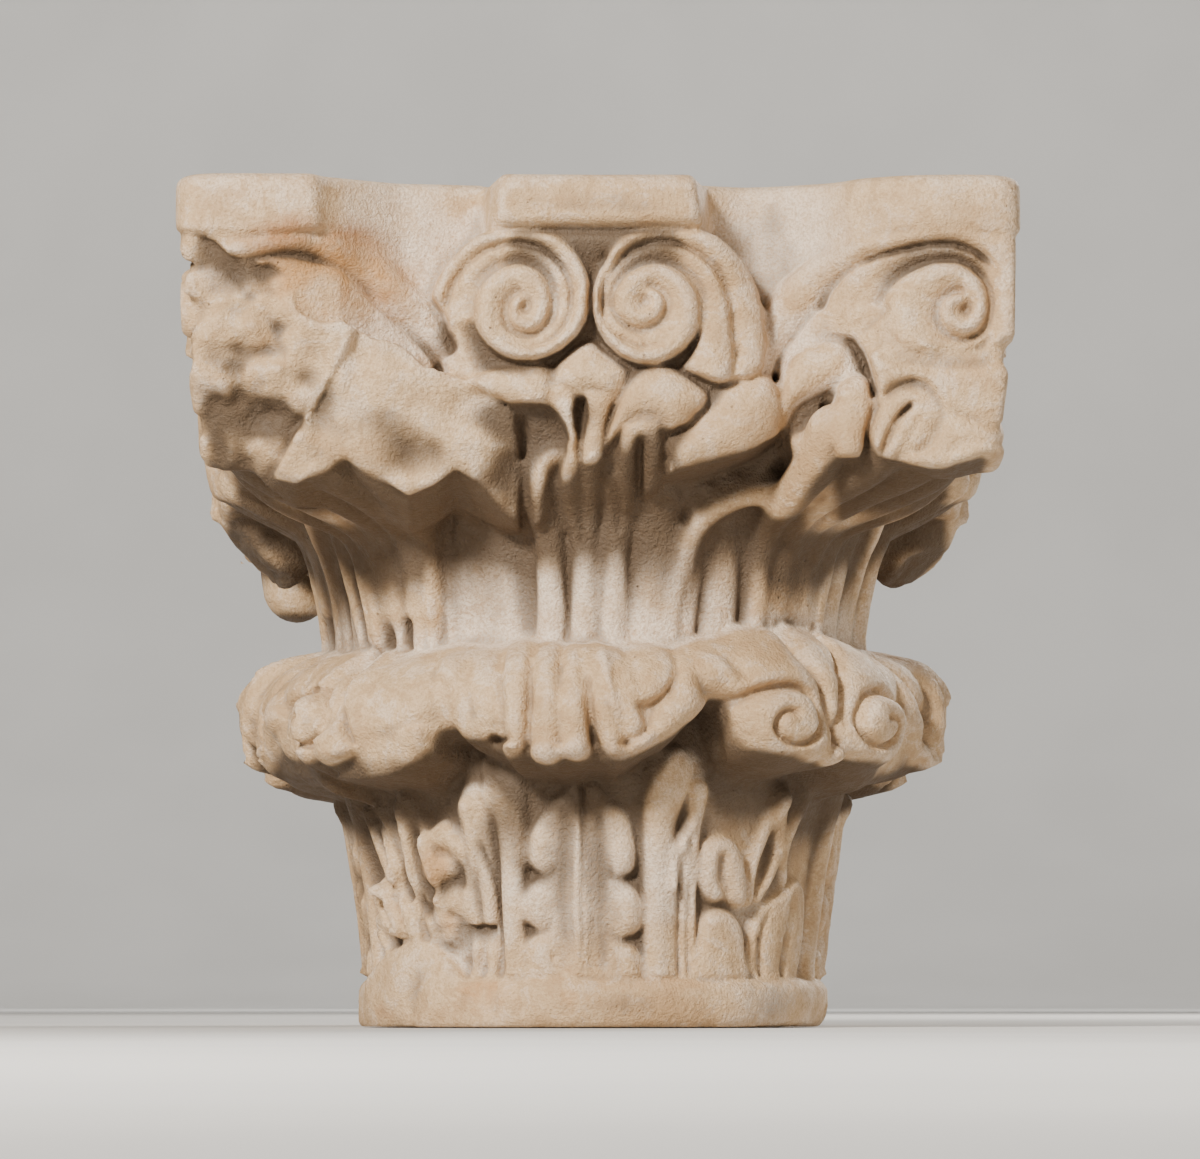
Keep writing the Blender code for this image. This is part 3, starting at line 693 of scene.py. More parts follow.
# Stems on the upper bell, in degrees from the middle of a face: half widths and height
ARCH_STEMS = (
    (ridge, ((12.5, 156.5), (12.5, 189.5), (11.5, 213)), (11.5, 10.5, 9), 5.2),
    (ridge, ((20, 156.5), (21, 190), (20, 217.5)), (4.0, 4.6, 4.2), 4.6),
    (ridge, ((27.5, 158), (27.5, 190), (25, 217.5)), (9.0, 8.6, 8.0), 6.0),
    (ridge, ((36.5, 162.5), (35.5, 190.5), (32, 218)), (7.5, 7.8, 7.5), 5.2),
    (groove, ((18.5, 157.5), (18.5, 189.5), (17.5, 217)), (1.2, 1.2, 1.2), 2.0),
    (groove, ((42.5, 165), (40.5, 191), (37.5, 218.5)), (1.6, 1.6, 1.6), 2.5),
)
MIDDLE_STEMS = (
    (ridge, ((-10, 156.5), (-9.5, 189.5), (-10, 213), (-9.5, 232.5)), (6.6, 6.2, 5.0, 4.4), 6.5),
    (ridge, ((-3, 156.5), (-2.5, 189.5), (-3, 209), (-3, 232)), (6.4, 6.4, 6.2, 6.0), 6.5),
    (ridge, ((3.5, 156.5), (3.5, 189.5), (4, 209), (4, 232)), (6.4, 6.4, 6.2, 6.0), 6.5),
    (groove, ((-3, 195.5), (-3, 213), (-3, 228)), (1.2, 1.6, 1.6), 3.2),
    (groove, ((4, 201), (4, 213), (4, 224.5)), (1.2, 1.6, 1.6), 3.2),
)
LEFT_STEMS = (
    (groove, ((-15.5, 156.5), (-16, 189.5), (-18, 209.5)), (7, 9, 8), 2.5),
    (groove, ((-34.5, 157.5), (-33.5, 190.5), (-29.5, 214)), (3, 3, 3), 3.0),
    (ridge, ((-38.5, 156.5), (-37.5, 191), (-37, 215)), (6.5, 6.8, 8), 5),
    (ridge, ((-45, 155.5), (-45.5, 191.5), (-44.5, 222.5)), (4.0, 4.2, 5), 4),
    (ridge, ((-51.5, 155.5), (-52.5, 192.5), (-52, 224.5)), (4.2, 4.4, 5), 4),
    (ridge, ((-58.5, 156), (-60.5, 193), (-60.5, 219.5)), (4.0, 4.2, 5), 4),
)

# Crown leaf that faces along an axis, right half, in degrees from its middle
CROWN_MIDDLE = (
    (ridge, ((-0.5, 154.5), (0.5, 131.5), (2.5, 114.5)), (4.6, 4.8, 4.6), 7),
    (ridge, ((2.5, 152), (4, 135.5), (6.5, 122.5), (7, 116.5)), (4.4, 5, 5.4, 4.4), 6.5),
    (pillow, ((16.5, 153), (17.5, 143.5), (19, 134.5), (24.5, 130.5), (16.5, 123), (13.5, 117), (9, 109),
        (4.5, 103), (1, 105), (0.5, 110.5), (4, 114.5), (8, 118.5), (9.5, 125.5), (10.5, 131),
        (12.5, 136.5), (14, 146), (15, 152.5)), 6, 9),
    (pillow, ((5.5, 152), (8.5, 155.5), (12, 156), (14, 152.5), (14.5, 147), (13, 139), (10.5, 133.5),
        (8, 130.5), (6.5, 132.5), (5, 139.5), (4.5, 146.5)), 6, 8),
    (groove, ((7, 130), (8.5, 122.5), (7, 116.5), (3.5, 113.5)), (2.2, 2.6, 2.6, 2), 5),
    (groove, ((15.5, 154.5), (14.5, 146), (12, 135), (8.5, 128.5)), (2, 2, 2, 2), 2.5),
)
# The worn left half and middle of that leaf on the damaged end
CROWN_FRONT = (
    (ridge, ((-9, 153), (-8, 131.5), (-8.5, 115), (-8.5, 108.5)), (5.2, 5.4, 6.2, 6.0), 8),
    (ridge, ((-4, 153), (-4, 131.5), (-4, 111)), (4.6, 4.8, 4.6), 7.5),
    (ridge, ((-14.5, 152.5), (-13.5, 133.5), (-14, 117.5)), (6.5, 7, 6.5), 7),
    (pillow, ((-30, 150.5), (-25.5, 153.5), (-20.5, 153.5), (-17.5, 145), (-16.5, 131.5), (-17, 120.5),
        (-19, 115), (-22, 114.5), (-25, 117), (-25.5, 125), (-25.5, 136), (-28, 142)), 4.5, 10),
    (groove, ((-18.5, 116.5), (-17, 115), (-15, 116.5)), (2.4, 3, 2), 6),
    (groove, ((-17.5, 150.5), (-16, 131.5), (-16, 116.5)), (2.0, 2.4, 2.0), 4),
    (groove, ((-11.5, 151.5), (-11, 131.5), (-11.5, 113.5)), (2.0, 2.4, 2.0), 4.5),
    (groove, ((-6.5, 151.5), (-6, 131.5), (-6, 113.5)), (2.0, 2.4, 2.0), 4.5),
    (groove, ((-2.5, 151), (-1.5, 131.5), (-0.5, 114.5)), (2.0, 2.4, 2.0), 4),
    (groove, ((-24, 148.5), (-22.5, 136), (-21.5, 126)), (2.4, 3, 2.4), 2),
    (pillow, ((-18, 114), (-16, 115.5), (-13, 114), (-11.5, 109.5), (-13.5, 104.5), (-16, 105.5),
        (-18, 109.5)), 4, 5),
    (pillow, ((-11, 113.5), (-8.5, 115), (-6, 113), (-6, 107.5), (-7.5, 103.5), (-10, 104), (-11, 107.5)),
        4, 5),
    (pillow, ((-5.5, 114.5), (-3, 115.5), (-1, 113.5), (-0.5, 108.5), (-2, 104.5), (-4.5, 104.5),
        (-5.5, 109)), 4, 5),
)
# Left corner leaf of the damaged end: worn dome, broken edge and its upright fins
CROWN_LEFT = (
    (pillow, ((-31, 149), (-36.5, 151.5), (-45, 148), (-50, 138), (-51.5, 121.5), (-53, 105.5),
        (-57.5, 99.5), (-46, 99.5), (-35.5, 103), (-30, 110), (-30, 120.5), (-28.5, 132.5)), 5, 14),
    (pillow, ((-48, 108.5), (-41.5, 116), (-35, 120.5), (-30.5, 122), (-31, 114.5), (-35, 105.5),
        (-44.5, 100.5), (-54, 100), (-51.5, 104)), 1, 8, ((95, 131), (112, 138), (125, 142))),
    (groove, ((-42.5, 116), (-35.5, 122), (-30.5, 124.5)), (1.6, 2.2, 1.6), 1.6),
    (ridge, ((-53, 158), (-55, 140), (-56, 118), (-56, 104)), (2.2, 2.6, 3, 3), 4),
    (ridge, ((-49.5, 156), (-50.5, 140), (-51, 118)), (1.8, 2.2, 2.2), 3.2),
    (ridge, ((-46, 154), (-46.5, 138), (-47, 120)), (1.8, 2.0, 2.0), 2.6),
    (groove, ((-60, 140), (-62, 126), (-60, 112)), (4, 5, 4), 4),
    (ridge, ((-66, 150), (-71, 134), (-70, 116)), (6, 8, 7), 4),
)
# Half of a corner leaf of the crown, in degrees from its middle, which curls into a scroll
CROWN_CORNER = (
    (pillow, ((27, 157), (22, 161.5), (13.5, 164.5), (6, 163.5), (7, 153), (3.5, 139.5), (2.5, 128.5),
        (0, 116.5), (-2, 112.5), (-2, 106.5), (7, 104), (14.5, 105), (18.5, 109.5), (20.5, 117),
        (21.5, 125.5), (23, 132), (26.5, 138.5), (28.5, 147.5)), 6, 12),
    (pillow, ((21, 121.5), (21, 129), (19, 134), (15.5, 137.5), (10.5, 138.5), (6.5, 136), (4.5, 129.5),
        (2.5, 122), (2, 113), (5.5, 107), (11, 106), (16.5, 109), (19.5, 114)), 5, 12),
    (groove, ((23, 129.5), (21, 131.5), (18, 134.5), (14.5, 137.5), (10.5, 138), (7.5, 135.5), (6, 130.5),
        (5, 124), (6.5, 118.5), (9.5, 115.5), (12.5, 116.5), (14.5, 120.5), (14.5, 125.5), (13, 128.5),
        (11, 127.5)), (5, 4.6, 4, 3.4, 3, 2.8, 2.6, 2.4, 2.2, 2, 1.8, 1.6, 1.4, 1.2), 6.5),
    (groove, ((6.5, 165), (6, 153.5), (3, 141.5), (1.5, 128.5), (-1, 115)), (1.8, 1.8, 1.8, 1.8, 1.4), 5),
    (groove, ((23, 152.5), (20.5, 147.5), (19, 142)), (3, 4, 3), 2.5),
)
CROWN_BAND = (
    (ridge, ((-1.5, 164), (-1, 152), (-0.5, 138), (0, 122), (0, 106)), (5.5, 5.5, 5, 4.5, 4.5), 3.5),
)

# Foliage of the lower bell right of the middle of a face, in degrees from that middle
LOWER_MIDDLE = (
    (pillow, ((-3.5, 95.5), (3.5, 93), (7.5, 86), (9, 78.5), (10, 71.5), (9.5, 63.5), (7.5, 60), (10, 56.5),
        (12, 50), (12, 41), (10.5, 37), (8, 35.5), (10.5, 34), (12.5, 28), (12, 21), (9, 15), (-4, 15)),
        4.2, 5),
    (groove, ((10, 63), (6.5, 60.5), (4, 61.5), (3.5, 65)), (1.8, 1.8, 1.4, 1), 2.2),
    (groove, ((12, 39.5), (8, 36), (4.5, 37), (4, 40.5)), (1.8, 1.8, 1.4, 1), 2.2),
    (groove, ((6.5, 72), (6.5, 67)), (7, 7), -2.6),
    (groove, ((8, 50.5), (8.5, 44.5)), (7.5, 7.5), -2.6),
    (groove, ((8, 28), (8.5, 24)), (6.5, 6.5), -2.4),
    (groove, ((2, 19), (2, 52), (1, 86.5)), (4, 4, 3), 1.2),
    (groove, ((-3.5, 15), (-3, 52), (-3, 96.5)), (1.1, 1.3, 1.6), 4),
    (ridge, ((16.5, 15), (15.5, 52), (15, 80.5), (16.5, 104.5)), (7.2, 7.2, 8, 11), 6),
)
LOWER_MIDDLE_LEFT = (
    (pillow, ((-3, 95.5), (-9, 93.5), (-13, 87), (-15.5, 79.5), (-16.5, 73), (-16.5, 65.5), (-14.5, 61),
        (-16.5, 58.5), (-18, 52), (-18, 44), (-15.5, 39.5), (-17.5, 36.5), (-18.5, 30), (-17.5, 16),
        (-3, 15)), 4.2, 5),
    (groove, ((-16.5, 64), (-13, 61), (-10.5, 62), (-10, 65.5)), (1.8, 1.8, 1.4, 1), 2.2),
    (groove, ((-18, 42), (-14.5, 39), (-11.5, 40.5), (-11, 43.5)), (1.8, 1.8, 1.4, 1), 2.2),
    (groove, ((-12.5, 75.5), (-13, 69.5)), (7, 7), -2.6),
    (groove, ((-13.5, 52.5), (-13.5, 47.5)), (7, 7), -2.6),
    (groove, ((-13.5, 31.5), (-13, 26.5)), (7, 7), -2.4),
    (groove, ((-11, 71.5), (-11, 71)), (1.2, 1.2), 2),
    (groove, ((-11.5, 48.5), (-11.5, 48)), (1.2, 1.2), 2),
    (groove, ((-10.5, 30), (-10.5, 27.5)), (1.6, 1.6), 2.4),
    (groove, ((-8, 19), (-8, 52), (-7, 86.5)), (4, 4, 3), 1.2),
    (ridge, ((-21.5, 15), (-20.5, 52), (-20, 76.5), (-21, 104.5)), (6.2, 6.2, 7.4, 11), 5.6),
)
# Foliage of the lower bell beside a corner, in degrees from the corner
LOWER_CORNER = (
    (pillow, ((27.5, 56), (27.5, 67.5), (26, 78), (22.5, 87), (21, 82), (23, 75.5), (25, 68), (25.5, 56)),
        4, 4),
    (ridge, ((24.5, 21), (25.5, 52), (25, 68), (23.5, 76.5)), (1.8, 2, 2.2, 2), 3.5),
    (ridge, ((22, 21), (23, 52), (23, 72.5)), (2, 2.4, 2.4), 4),
    (ridge, ((19.5, 21), (20.5, 52), (21, 76.5), (21, 96.5)), (2.2, 2.4, 3, 5), 4),
    (pillow, ((19.5, 60), (19.5, 70), (18, 76.5), (14, 79), (10, 76.5), (7, 70), (5.5, 62.5), (4.5, 52),
        (6.5, 49), (11, 52), (14.5, 50.5), (17.5, 53.5)), 6.5, 7),
    (groove, ((14, 69), (13.5, 61), (11, 56)), (4, 5, 4), 3.5),
    (pillow, ((18, 20), (18.5, 37.5), (17.5, 45.5), (14.5, 49), (9, 47.5), (5, 41.5), (3.5, 31.5), (3, 20)),
        6.5, 6),
    (pillow, ((12.5, 19), (13, 33.5), (12, 38), (10.5, 33.5), (9.5, 19)), 0, 3, ((0, 97), (60, 98))),
)
LOWER_BLADE = (
    (pillow, ((0.5, 20), (2.5, 36.5), (-1, 49), (-9.5, 56.5), (-15, 62.5), (-20.5, 56), (-22.5, 40),
        (-19, 20)), 4.5, 4),
    (groove, ((-2, 20), (-1.5, 38), (-4, 48)), (2.2, 2.4, 1.6), 3.5),
    (groove, ((-10.5, 20), (-12.5, 40), (-13.5, 52.5)), (2.6, 2.6, 1.6), 3.5),
    (ridge, ((3, 52), (2.5, 68.5), (-2, 93.5)), (2.2, 3.2, 5), 3.5),
    (ridge, ((0, 53), (-5, 69), (-3, 95)), (2.2, 3.6, 6), 4),
    (ridge, ((-10, 60.5), (-8, 75), (-12, 95)), (2.2, 3.6, 6), 4),
)
# Foliage of the lower bell on the damaged side, left of the middle
LOWER_LEFT = (
    (ridge, ((-27, 21), (-27, 44), (-27.5, 64), (-28.5, 93)), (3.4, 4.6, 6, 8), 4),
    (groove, ((-23.5, 21), (-24, 39.5), (-25, 58), (-28, 74.5)), (1.6, 1.8, 2, 1.6), 3),
    (pillow, ((-47, 70.5), (-45.5, 78.5), (-41, 84), (-36.5, 86.5), (-33.5, 79), (-32.5, 71.5), (-34.5, 64),
        (-38, 60), (-43, 57.5), (-47, 62)), 6, 8),
    (groove, ((-39.5, 72.5), (-36.5, 70), (-35, 66)), (4, 5, 3), 3),
    (pillow, ((-45, 49.5), (-42, 56), (-36.5, 60), (-32.5, 56), (-32, 48.5), (-34, 42), (-38.5, 36.5),
        (-42.5, 35), (-45.5, 40.5)), 4.5, 10),
    (groove, ((-39, 47), (-36, 44.5), (-37.5, 40)), (4, 4.5, 3), 3),
    (ridge, ((-32.5, 21.5), (-31.5, 37.5), (-32, 60), (-31.5, 89)), (3, 3.4, 4, 5), 3.5),
    (ridge, ((-48.5, 38), (-49, 56.5), (-49, 73), (-49.5, 89.5)), (2, 2.8, 3.2, 4), 4.5),
    (ridge, ((-50, 37.5), (-53.5, 56.5), (-56, 73), (-58.5, 89)), (1.8, 2.8, 3.2, 4), 4.5),
    (ridge, ((-52.5, 38.5), (-59, 56.5), (-64, 73.5), (-68, 88)), (1.8, 2.8, 3.4, 4), 4.2),
    (ridge, ((-55, 38.5), (-64.5, 52.5), (-55, 60), (-60, 80)), (1.8, 2.6, 3.4, 4), 4),
    (ridge, ((-61.5, 32), (-68, 44.5), (-55, 40), (-60, 56)), (1.8, 2.6, 3.2, 3.6), 3.6),
)
# Where ring and foliage broke away, down to a rough slope
LOWER_BREAK = (
    (pillow, ((-87.5, -3.5), (-72, 18), (-69.5, 22.5), (-61.5, 31), (-52.5, 35), (-46, 36), (-41, 31),
        (-36.5, 22.5), (-33, 16), (-30.5, 8.5), (-27, -3)), 1, 5,
        ((-4, 97), (8, 99), (20, 98.5), (36, 97), (60, 98))),
)

# Lower edge of a whole crown and of the one on the damaged end, by angle
HALF_CROWN_FOOT = (
    (0, 104), (4, 102), (7, 105.5), (13.5, 113.5), (17.5, 122), (19.5, 128.5), (21.5, 131), (23, 128.5),
    (24.5, 117), (27, 108), (32.5, 104), (38, 103), (49, 107.5),
)
FRONT_CROWN_FOOT = (
    (-90, 98), (-78, 100), (-66, 97), (-58, 94), (-59, 99.5), (-46.5, 99.5), (-36, 102), (-30, 109.5),
    (-28.5, 117.5), (-26, 118), (-24, 112), (-20, 109), (-16.5, 106.5), (-16, 102), (-11.5, 102.5),
    (-6.5, 102), (0.5, 104), *HALF_CROWN_FOOT[1:], (58, 99), (66, 97), (74, 101), (82, 104), (90, 103),
)
CROWN_HEAD = (
    (-90, 160), (-60, 156), (-45, 155), (-30, 157), (0, 157.5), (16, 158), (24, 161), (29, 165), (50, 165),
    (60, 161), (90, 160),
)


def round_canvas(zs, ground):
    """A canvas round a bell. It is drawn in degrees and heights, and measured in millimetres."""
    unit = math.radians(1) * BELL_GAUGE
    return Canvas(np.arange(-TURN_END, TURN_END + 0.01, TURN_STEP) * unit, zs, ground, unit)


def turned(middle, side):
    def place(angle, up):
        return middle + side * angle, up
    return place


def crown_canvas(zs, front):
    """The crown of leaves: a radius over angle and height, zero where there is none."""
    canvas = round_canvas(zs, 0)
    angle = canvas.across / canvas.unit
    to_axis = 45 - np.abs((np.abs(angle) % 90) - 45)
    foot = table(HALF_CROWN_FOOT, to_axis)
    head = table(CROWN_HEAD, to_axis)
    if front:
        ahead = np.abs(angle) < 90
        foot = np.where(ahead, table(FRONT_CROWN_FOOT, angle), foot)
        head = np.where(ahead, table(CROWN_HEAD, angle), head)
    foot = foot + noise(np.stack([angle, 0 * angle, 0 * angle], axis=-1), 5, 71)
    share = (zs[None, :] - foot[:, None]) / (head - foot)[:, None]
    radius = table(CROWN, share) - 4.5 * np.exp(-((to_axis - 22) / 5) ** 2)[:, None]
    radius = radius + 0.8 * rough(canvas.places() / (canvas.unit, 1, 1), 12, 73)
    canvas.height = np.where((share < -0.08) | (share > 1.06), 0, radius)
    return canvas


def draw_crown(canvas, front):
    for quarter in (-180, -90, 0, 90, 180):
        for side in (-1, 1):
            if front and quarter == 0 and side < 0:
                continue
            canvas.draw(CROWN_MIDDLE, turned(quarter, side))
    for corner in (-135, -45, 45, 135):
        for side in (-1, 1):
            if front and corner == -45 and side > 0:
                continue
            canvas.draw(CROWN_CORNER, turned(corner, side))
        canvas.draw(CROWN_BAND, turned(corner, 1))
    if front:
        canvas.draw(CROWN_FRONT)
        canvas.draw(CROWN_LEFT)
    else:
        canvas.draw(CROWN_FRONT[:2])
    for quarter in (-180, -90, 90, 180):
        canvas.draw(CROWN_FRONT[1:2], turned(quarter, 1))


def draw_bell(canvas, front):
    for quarter in (-180, -90, 0, 90, 180):
        for side in (-1, 1):
            if front and quarter == 0 and side < 0:
                continue
            canvas.draw(ARCH_STEMS, turned(quarter, side))
            canvas.draw(LOWER_MIDDLE, turned(quarter, side))
        canvas.draw(MIDDLE_STEMS, turned(quarter, 1))
    for corner, away in ((-135, -1), (-45, 1), (45, -1), (135, 1)):
        for lean in (-10, -5, 0, 5, 10):
            canvas.ridge([(corner + lean, 156), (corner + lean, 185), (corner + lean * 1.2, 224)],
                         (4.8, 4.8, 6), 4.5)
        canvas.draw(LOWER_BLADE, turned(corner, away))
        if not (front and corner == -45):
            canvas.draw(LOWER_CORNER, turned(corner, away))
    if front:
        canvas.draw(LEFT_STEMS)
        canvas.draw(LOWER_MIDDLE_LEFT)
        canvas.draw(LOWER_LEFT)
        canvas.draw(LOWER_BREAK)


def keep_ring(canvas):
    """Leaves the ring at the foot plain, with a low uneven wear."""
    zs = canvas.up
    ring = table(BELL, zs)[None, :] + 0 * canvas.across[:, None]
    ring = ring + rough(canvas.places(), 16, 91)
    canvas.height = np.where(zs[None, :] < 20.5, ring, canvas.height)


def one_bell(stone, front):
    """Joins one bell with its crown to the block."""
    xs, ys, zs = stone.axes
    up = np.arange(zs[0], zs[-1] + PITCH, PITCH)
    canvas = round_canvas(up, table(BELL, up)[None, :])
    crown = crown_canvas(up, front)
    draw_bell(canvas, front)
    draw_crown(crown, front)
    keep_ring(canvas)
    if front:
        canvas.draw(LOWER_BREAK)
        angle = canvas.across[:, None] / canvas.unit
        low_left = smooth_step(-28, -34, angle) * smooth_step(-76, -70, angle)
        low_left = low_left * smooth_step(34, 28, up)[None, :]
        canvas.height = canvas.height + 1.8 * low_left * rough(canvas.places(), 18, 97)
    height = np.maximum(blur(canvas.height, 1), blur(crown.height, 1))
    y_mid = -BELL_Y if front else BELL_Y
    facing = -1 if front else 1
    cut = stone.window((-160, y_mid - 160, zs[0]), (160, y_mid + 160, zs[-1]))
    x, y, z = stone.grid(cut)
    reach = np.hypot(x, y - y_mid)[:, :, 0]
    angle = np.degrees(np.arctan2(x + 0 * y, facing * (y - y_mid) + 0 * x))[:, :, 0]
    place = np.clip((angle + TURN_END) / TURN_STEP, 0, len(canvas.across) - 1.001)
    low = place.astype(int)
    part = (place - low)[:, :, None].astype(np.float32)
    slope_a, slope_z = np.gradient(height, canvas.across, up)
    scale = 1 / np.sqrt(1 + np.minimum(slope_a ** 2 + slope_z ** 2, 16))
    row = (z[0, 0] - up[0]) / PITCH
    first = np.clip(row.astype(int), 0, len(up) - 2)
    share = (row - first)[None, :]
    height, scale = ((v[:, first] * (1 - share) + v[:, first + 1] * share).astype(np.float32)
                     for v in (height, scale))
    radius = height[low] * (1 - part) + height[low + 1] * part
    gauge = scale[low] * (1 - part) + scale[low + 1] * part
    stone.join(cut, (reach[:, :, None].astype(np.float32) - radius) * gauge, 3.0)


def fans(stone):
    """Stems that leave the bells and flare out under the upper leaves."""
    for bell in (-1, 1):
        for leaf in range(-4, 5):
            corner = leaf % 2
            middle = leaf * 45
            if leaf in (-4, 4) or (bell == -1 and leaf == 0):
                continue
            count = 5 if corner else 4
            for i in range(count):
                share = (i + 0.5) / count * 2 - 1
                start = middle + share * (10 if corner else 9)
                if corner:
                    end = middle + share * 15
                    route = ((111, 172, start), (114, 190, start), (124, 206, (start + end) / 2),
                             (148, 217, end), (178 - 22 * share ** 2, 228, end),
                             (196 - 34 * share ** 2, 240, end))
                    radii = (4.6, 5.0, 6.2, 8.0, 9.5, 10.5)
                else:
                    end = middle + share * 13
                    route = ((112, 176, start), (114, 195, start), (122, 209, (start + end) / 2),
                             (138, 219, end), (152, 229, end))
                    radii = (4.4, 4.8, 5.6, 7.0, 8.5)
                points = [on_bell(bell, angle, reach, up) for reach, up, angle in route]
                if abs(points[-1][1]) > 8:
                    stone.add(points, radii, 3.0)


# Rim of an arch: angle from the middle of a face, height and reach
RIM = (
    (16.5, 158, 106), (17, 178, 111), (18.5, 196, 117), (21, 208, 124), (26, 216, 131), (33, 218, 136),
    (38, 213, 133), (41, 204, 124), (42, 188, 115), (42, 166, 108),
)


def arch_rims(stone):
    """Rounded rims where the leaves close over the arches between the bundles of stems."""
    for bell, quarter, side in itertools.product((-1, 1), (0, 90, -90, 180), (-1, 1)):
        if bell < 0 and quarter == 0 and side < 0:
            continue
        points = [on_bell(bell, quarter + side * angle, reach, up) for angle, up, reach in RIM]
        if min(abs(p[1]) for p in points) > 6:
            stone.add(points, (3.5, 3.5, 4, 4.5, 5, 5.5, 5, 4.5, 4, 3.5), 6)


def tips(stone):
    """Heavy leaf ends at the middle of each long side and at one back corner."""
    for side in (-1, 1):
        stone.add([(side * 120, 0, 262), (side * 142, 0, 250), (side * 145, 0, 228)], (30, 22, 19), 4)
        stone.add([(side * 141, 0, 240), (side * 141.5, 0, 220), (side * 140.5, 0, 209.5)], (18, 18.5, 18), 4)
        for end in (-1, 1):
            stone.add([(side * 128, end * 12, 232), (side * 130, end * 12, 218), (side * 127, end * 10, 207)],
                      (9, 9, 6), 2)
    for side, end in ((-1, 1), (1, -1), (1, 1)):
        stone.add([(side * 128, end * 253, 300), (side * 138, end * 263, 262), (side * 142, end * 267, 240)],
                  (20, 21, 17), 4)
    stone.add([(-136, 261, 240), (-138, 263, 222), (-137, 262, 208)], (17, 17, 16), 4)


def outer_breaks(stone):
    """Broken corner tips and the flat breaks that close them off."""
    breaks = (
        ((110, -300, 205), (176, -225, 240), (152, -268, 224), (0.25, -0.25, -1), 14, 1.6, 31),
        ((-176, -300, 200), (-118, -225, 262), (-158, -262, 230), (-0.72, -0.35, -0.75), 14, 2.2, 37),
        ((100, 225, 190), (176, 300, 262), (140, 262, 229), (0.35, 0.35, -1), 15, 2.2, 41),
        ((-176, -40, 186), (-100, 40, 250), (-148, -4, 207), (-0.6, -0.25, -0.8), 12, 2.4, 43),
        ((100, -40, 186), (176, 40, 250), (148, -4, 205), (0.5, -0.3, -0.85), 12, 2.4, 47),
    )
    for low, high, point, normal, size, bite, seed in breaks:
        stone.split(low, high, point, normal, 2, size, bite, seed)


def ring_stump(stone):
    """Rough stone left where the ring and the leaf above it broke, front left."""
    lumps = (
        (((-62, 84, 6), (-56, 86, 16), (-50, 86, 26)), (16, 16, 13)),
        (((-44, 85, 4), (-42, 86, 14), (-44, 85, 24)), (16, 15, 11)),
        (((-28, 88, 3), (-29, 88, 9)), (13, 11)),
    )
    for places, radii in lumps:
        stone.add([on_bell(-1, *place) for place in places], radii, 2)
    stone.split((-112, -235, -4), (-40, -130, 42), (-66, -202, 14), (-0.42, -1, 0.28), 2, 16, 1.8, 53)


def chips(stone):
    """Small knocks along the edges, each a shallow scoop."""
    knocks = (
        ((172, -296, 340), 5), ((-172, -297, 341), 6), ((-109, -297, 343), 3), ((41, -297, 344), 3.5),
        ((-46, -297, 344), 3.2), ((136, -297, 344), 2.6), ((172, -180, 343), 5), ((-172, -90, 343), 6),
        ((120, 297, 343), 5), ((-172, 130, 320), 5), ((-150, 297, 343), 6), ((30, 297, 343), 4),
        ((172, 60, 322), 5), ((172, 280, 330), 7), ((-172, 290, 335), 8), ((98, -135, 4), 5),
    )
    for centre, radius in knocks:
        stone.carve([centre, (centre[0], centre[1], centre[2] - radius * 0.6)], (radius, radius * 0.8), 2.5)
    pits = ((-95, -224, 3), (-58, -222, 1.6), (62, -228, 3), (76, -206, 2.6))
    for x, y, radius in pits:
        stone.carve([(x, y, 8), (x + 3, y + 1, 10)], (radius, radius), 1.5)


def beds(stone):
    """Dresses the two beds flat."""
    zs = stone.axes[2]
    top = slice(np.searchsorted(zs, HEIGHT - 12), len(zs))
    above = (zs[top] - HEIGHT)[None, None, :].astype(np.float32)
    stone.field[:, :, top] = soft_max(stone.field[:, :, top], above, 7)
    stone.field = np.maximum(stone.field, (-zs)[None, None, :].astype(np.float32))


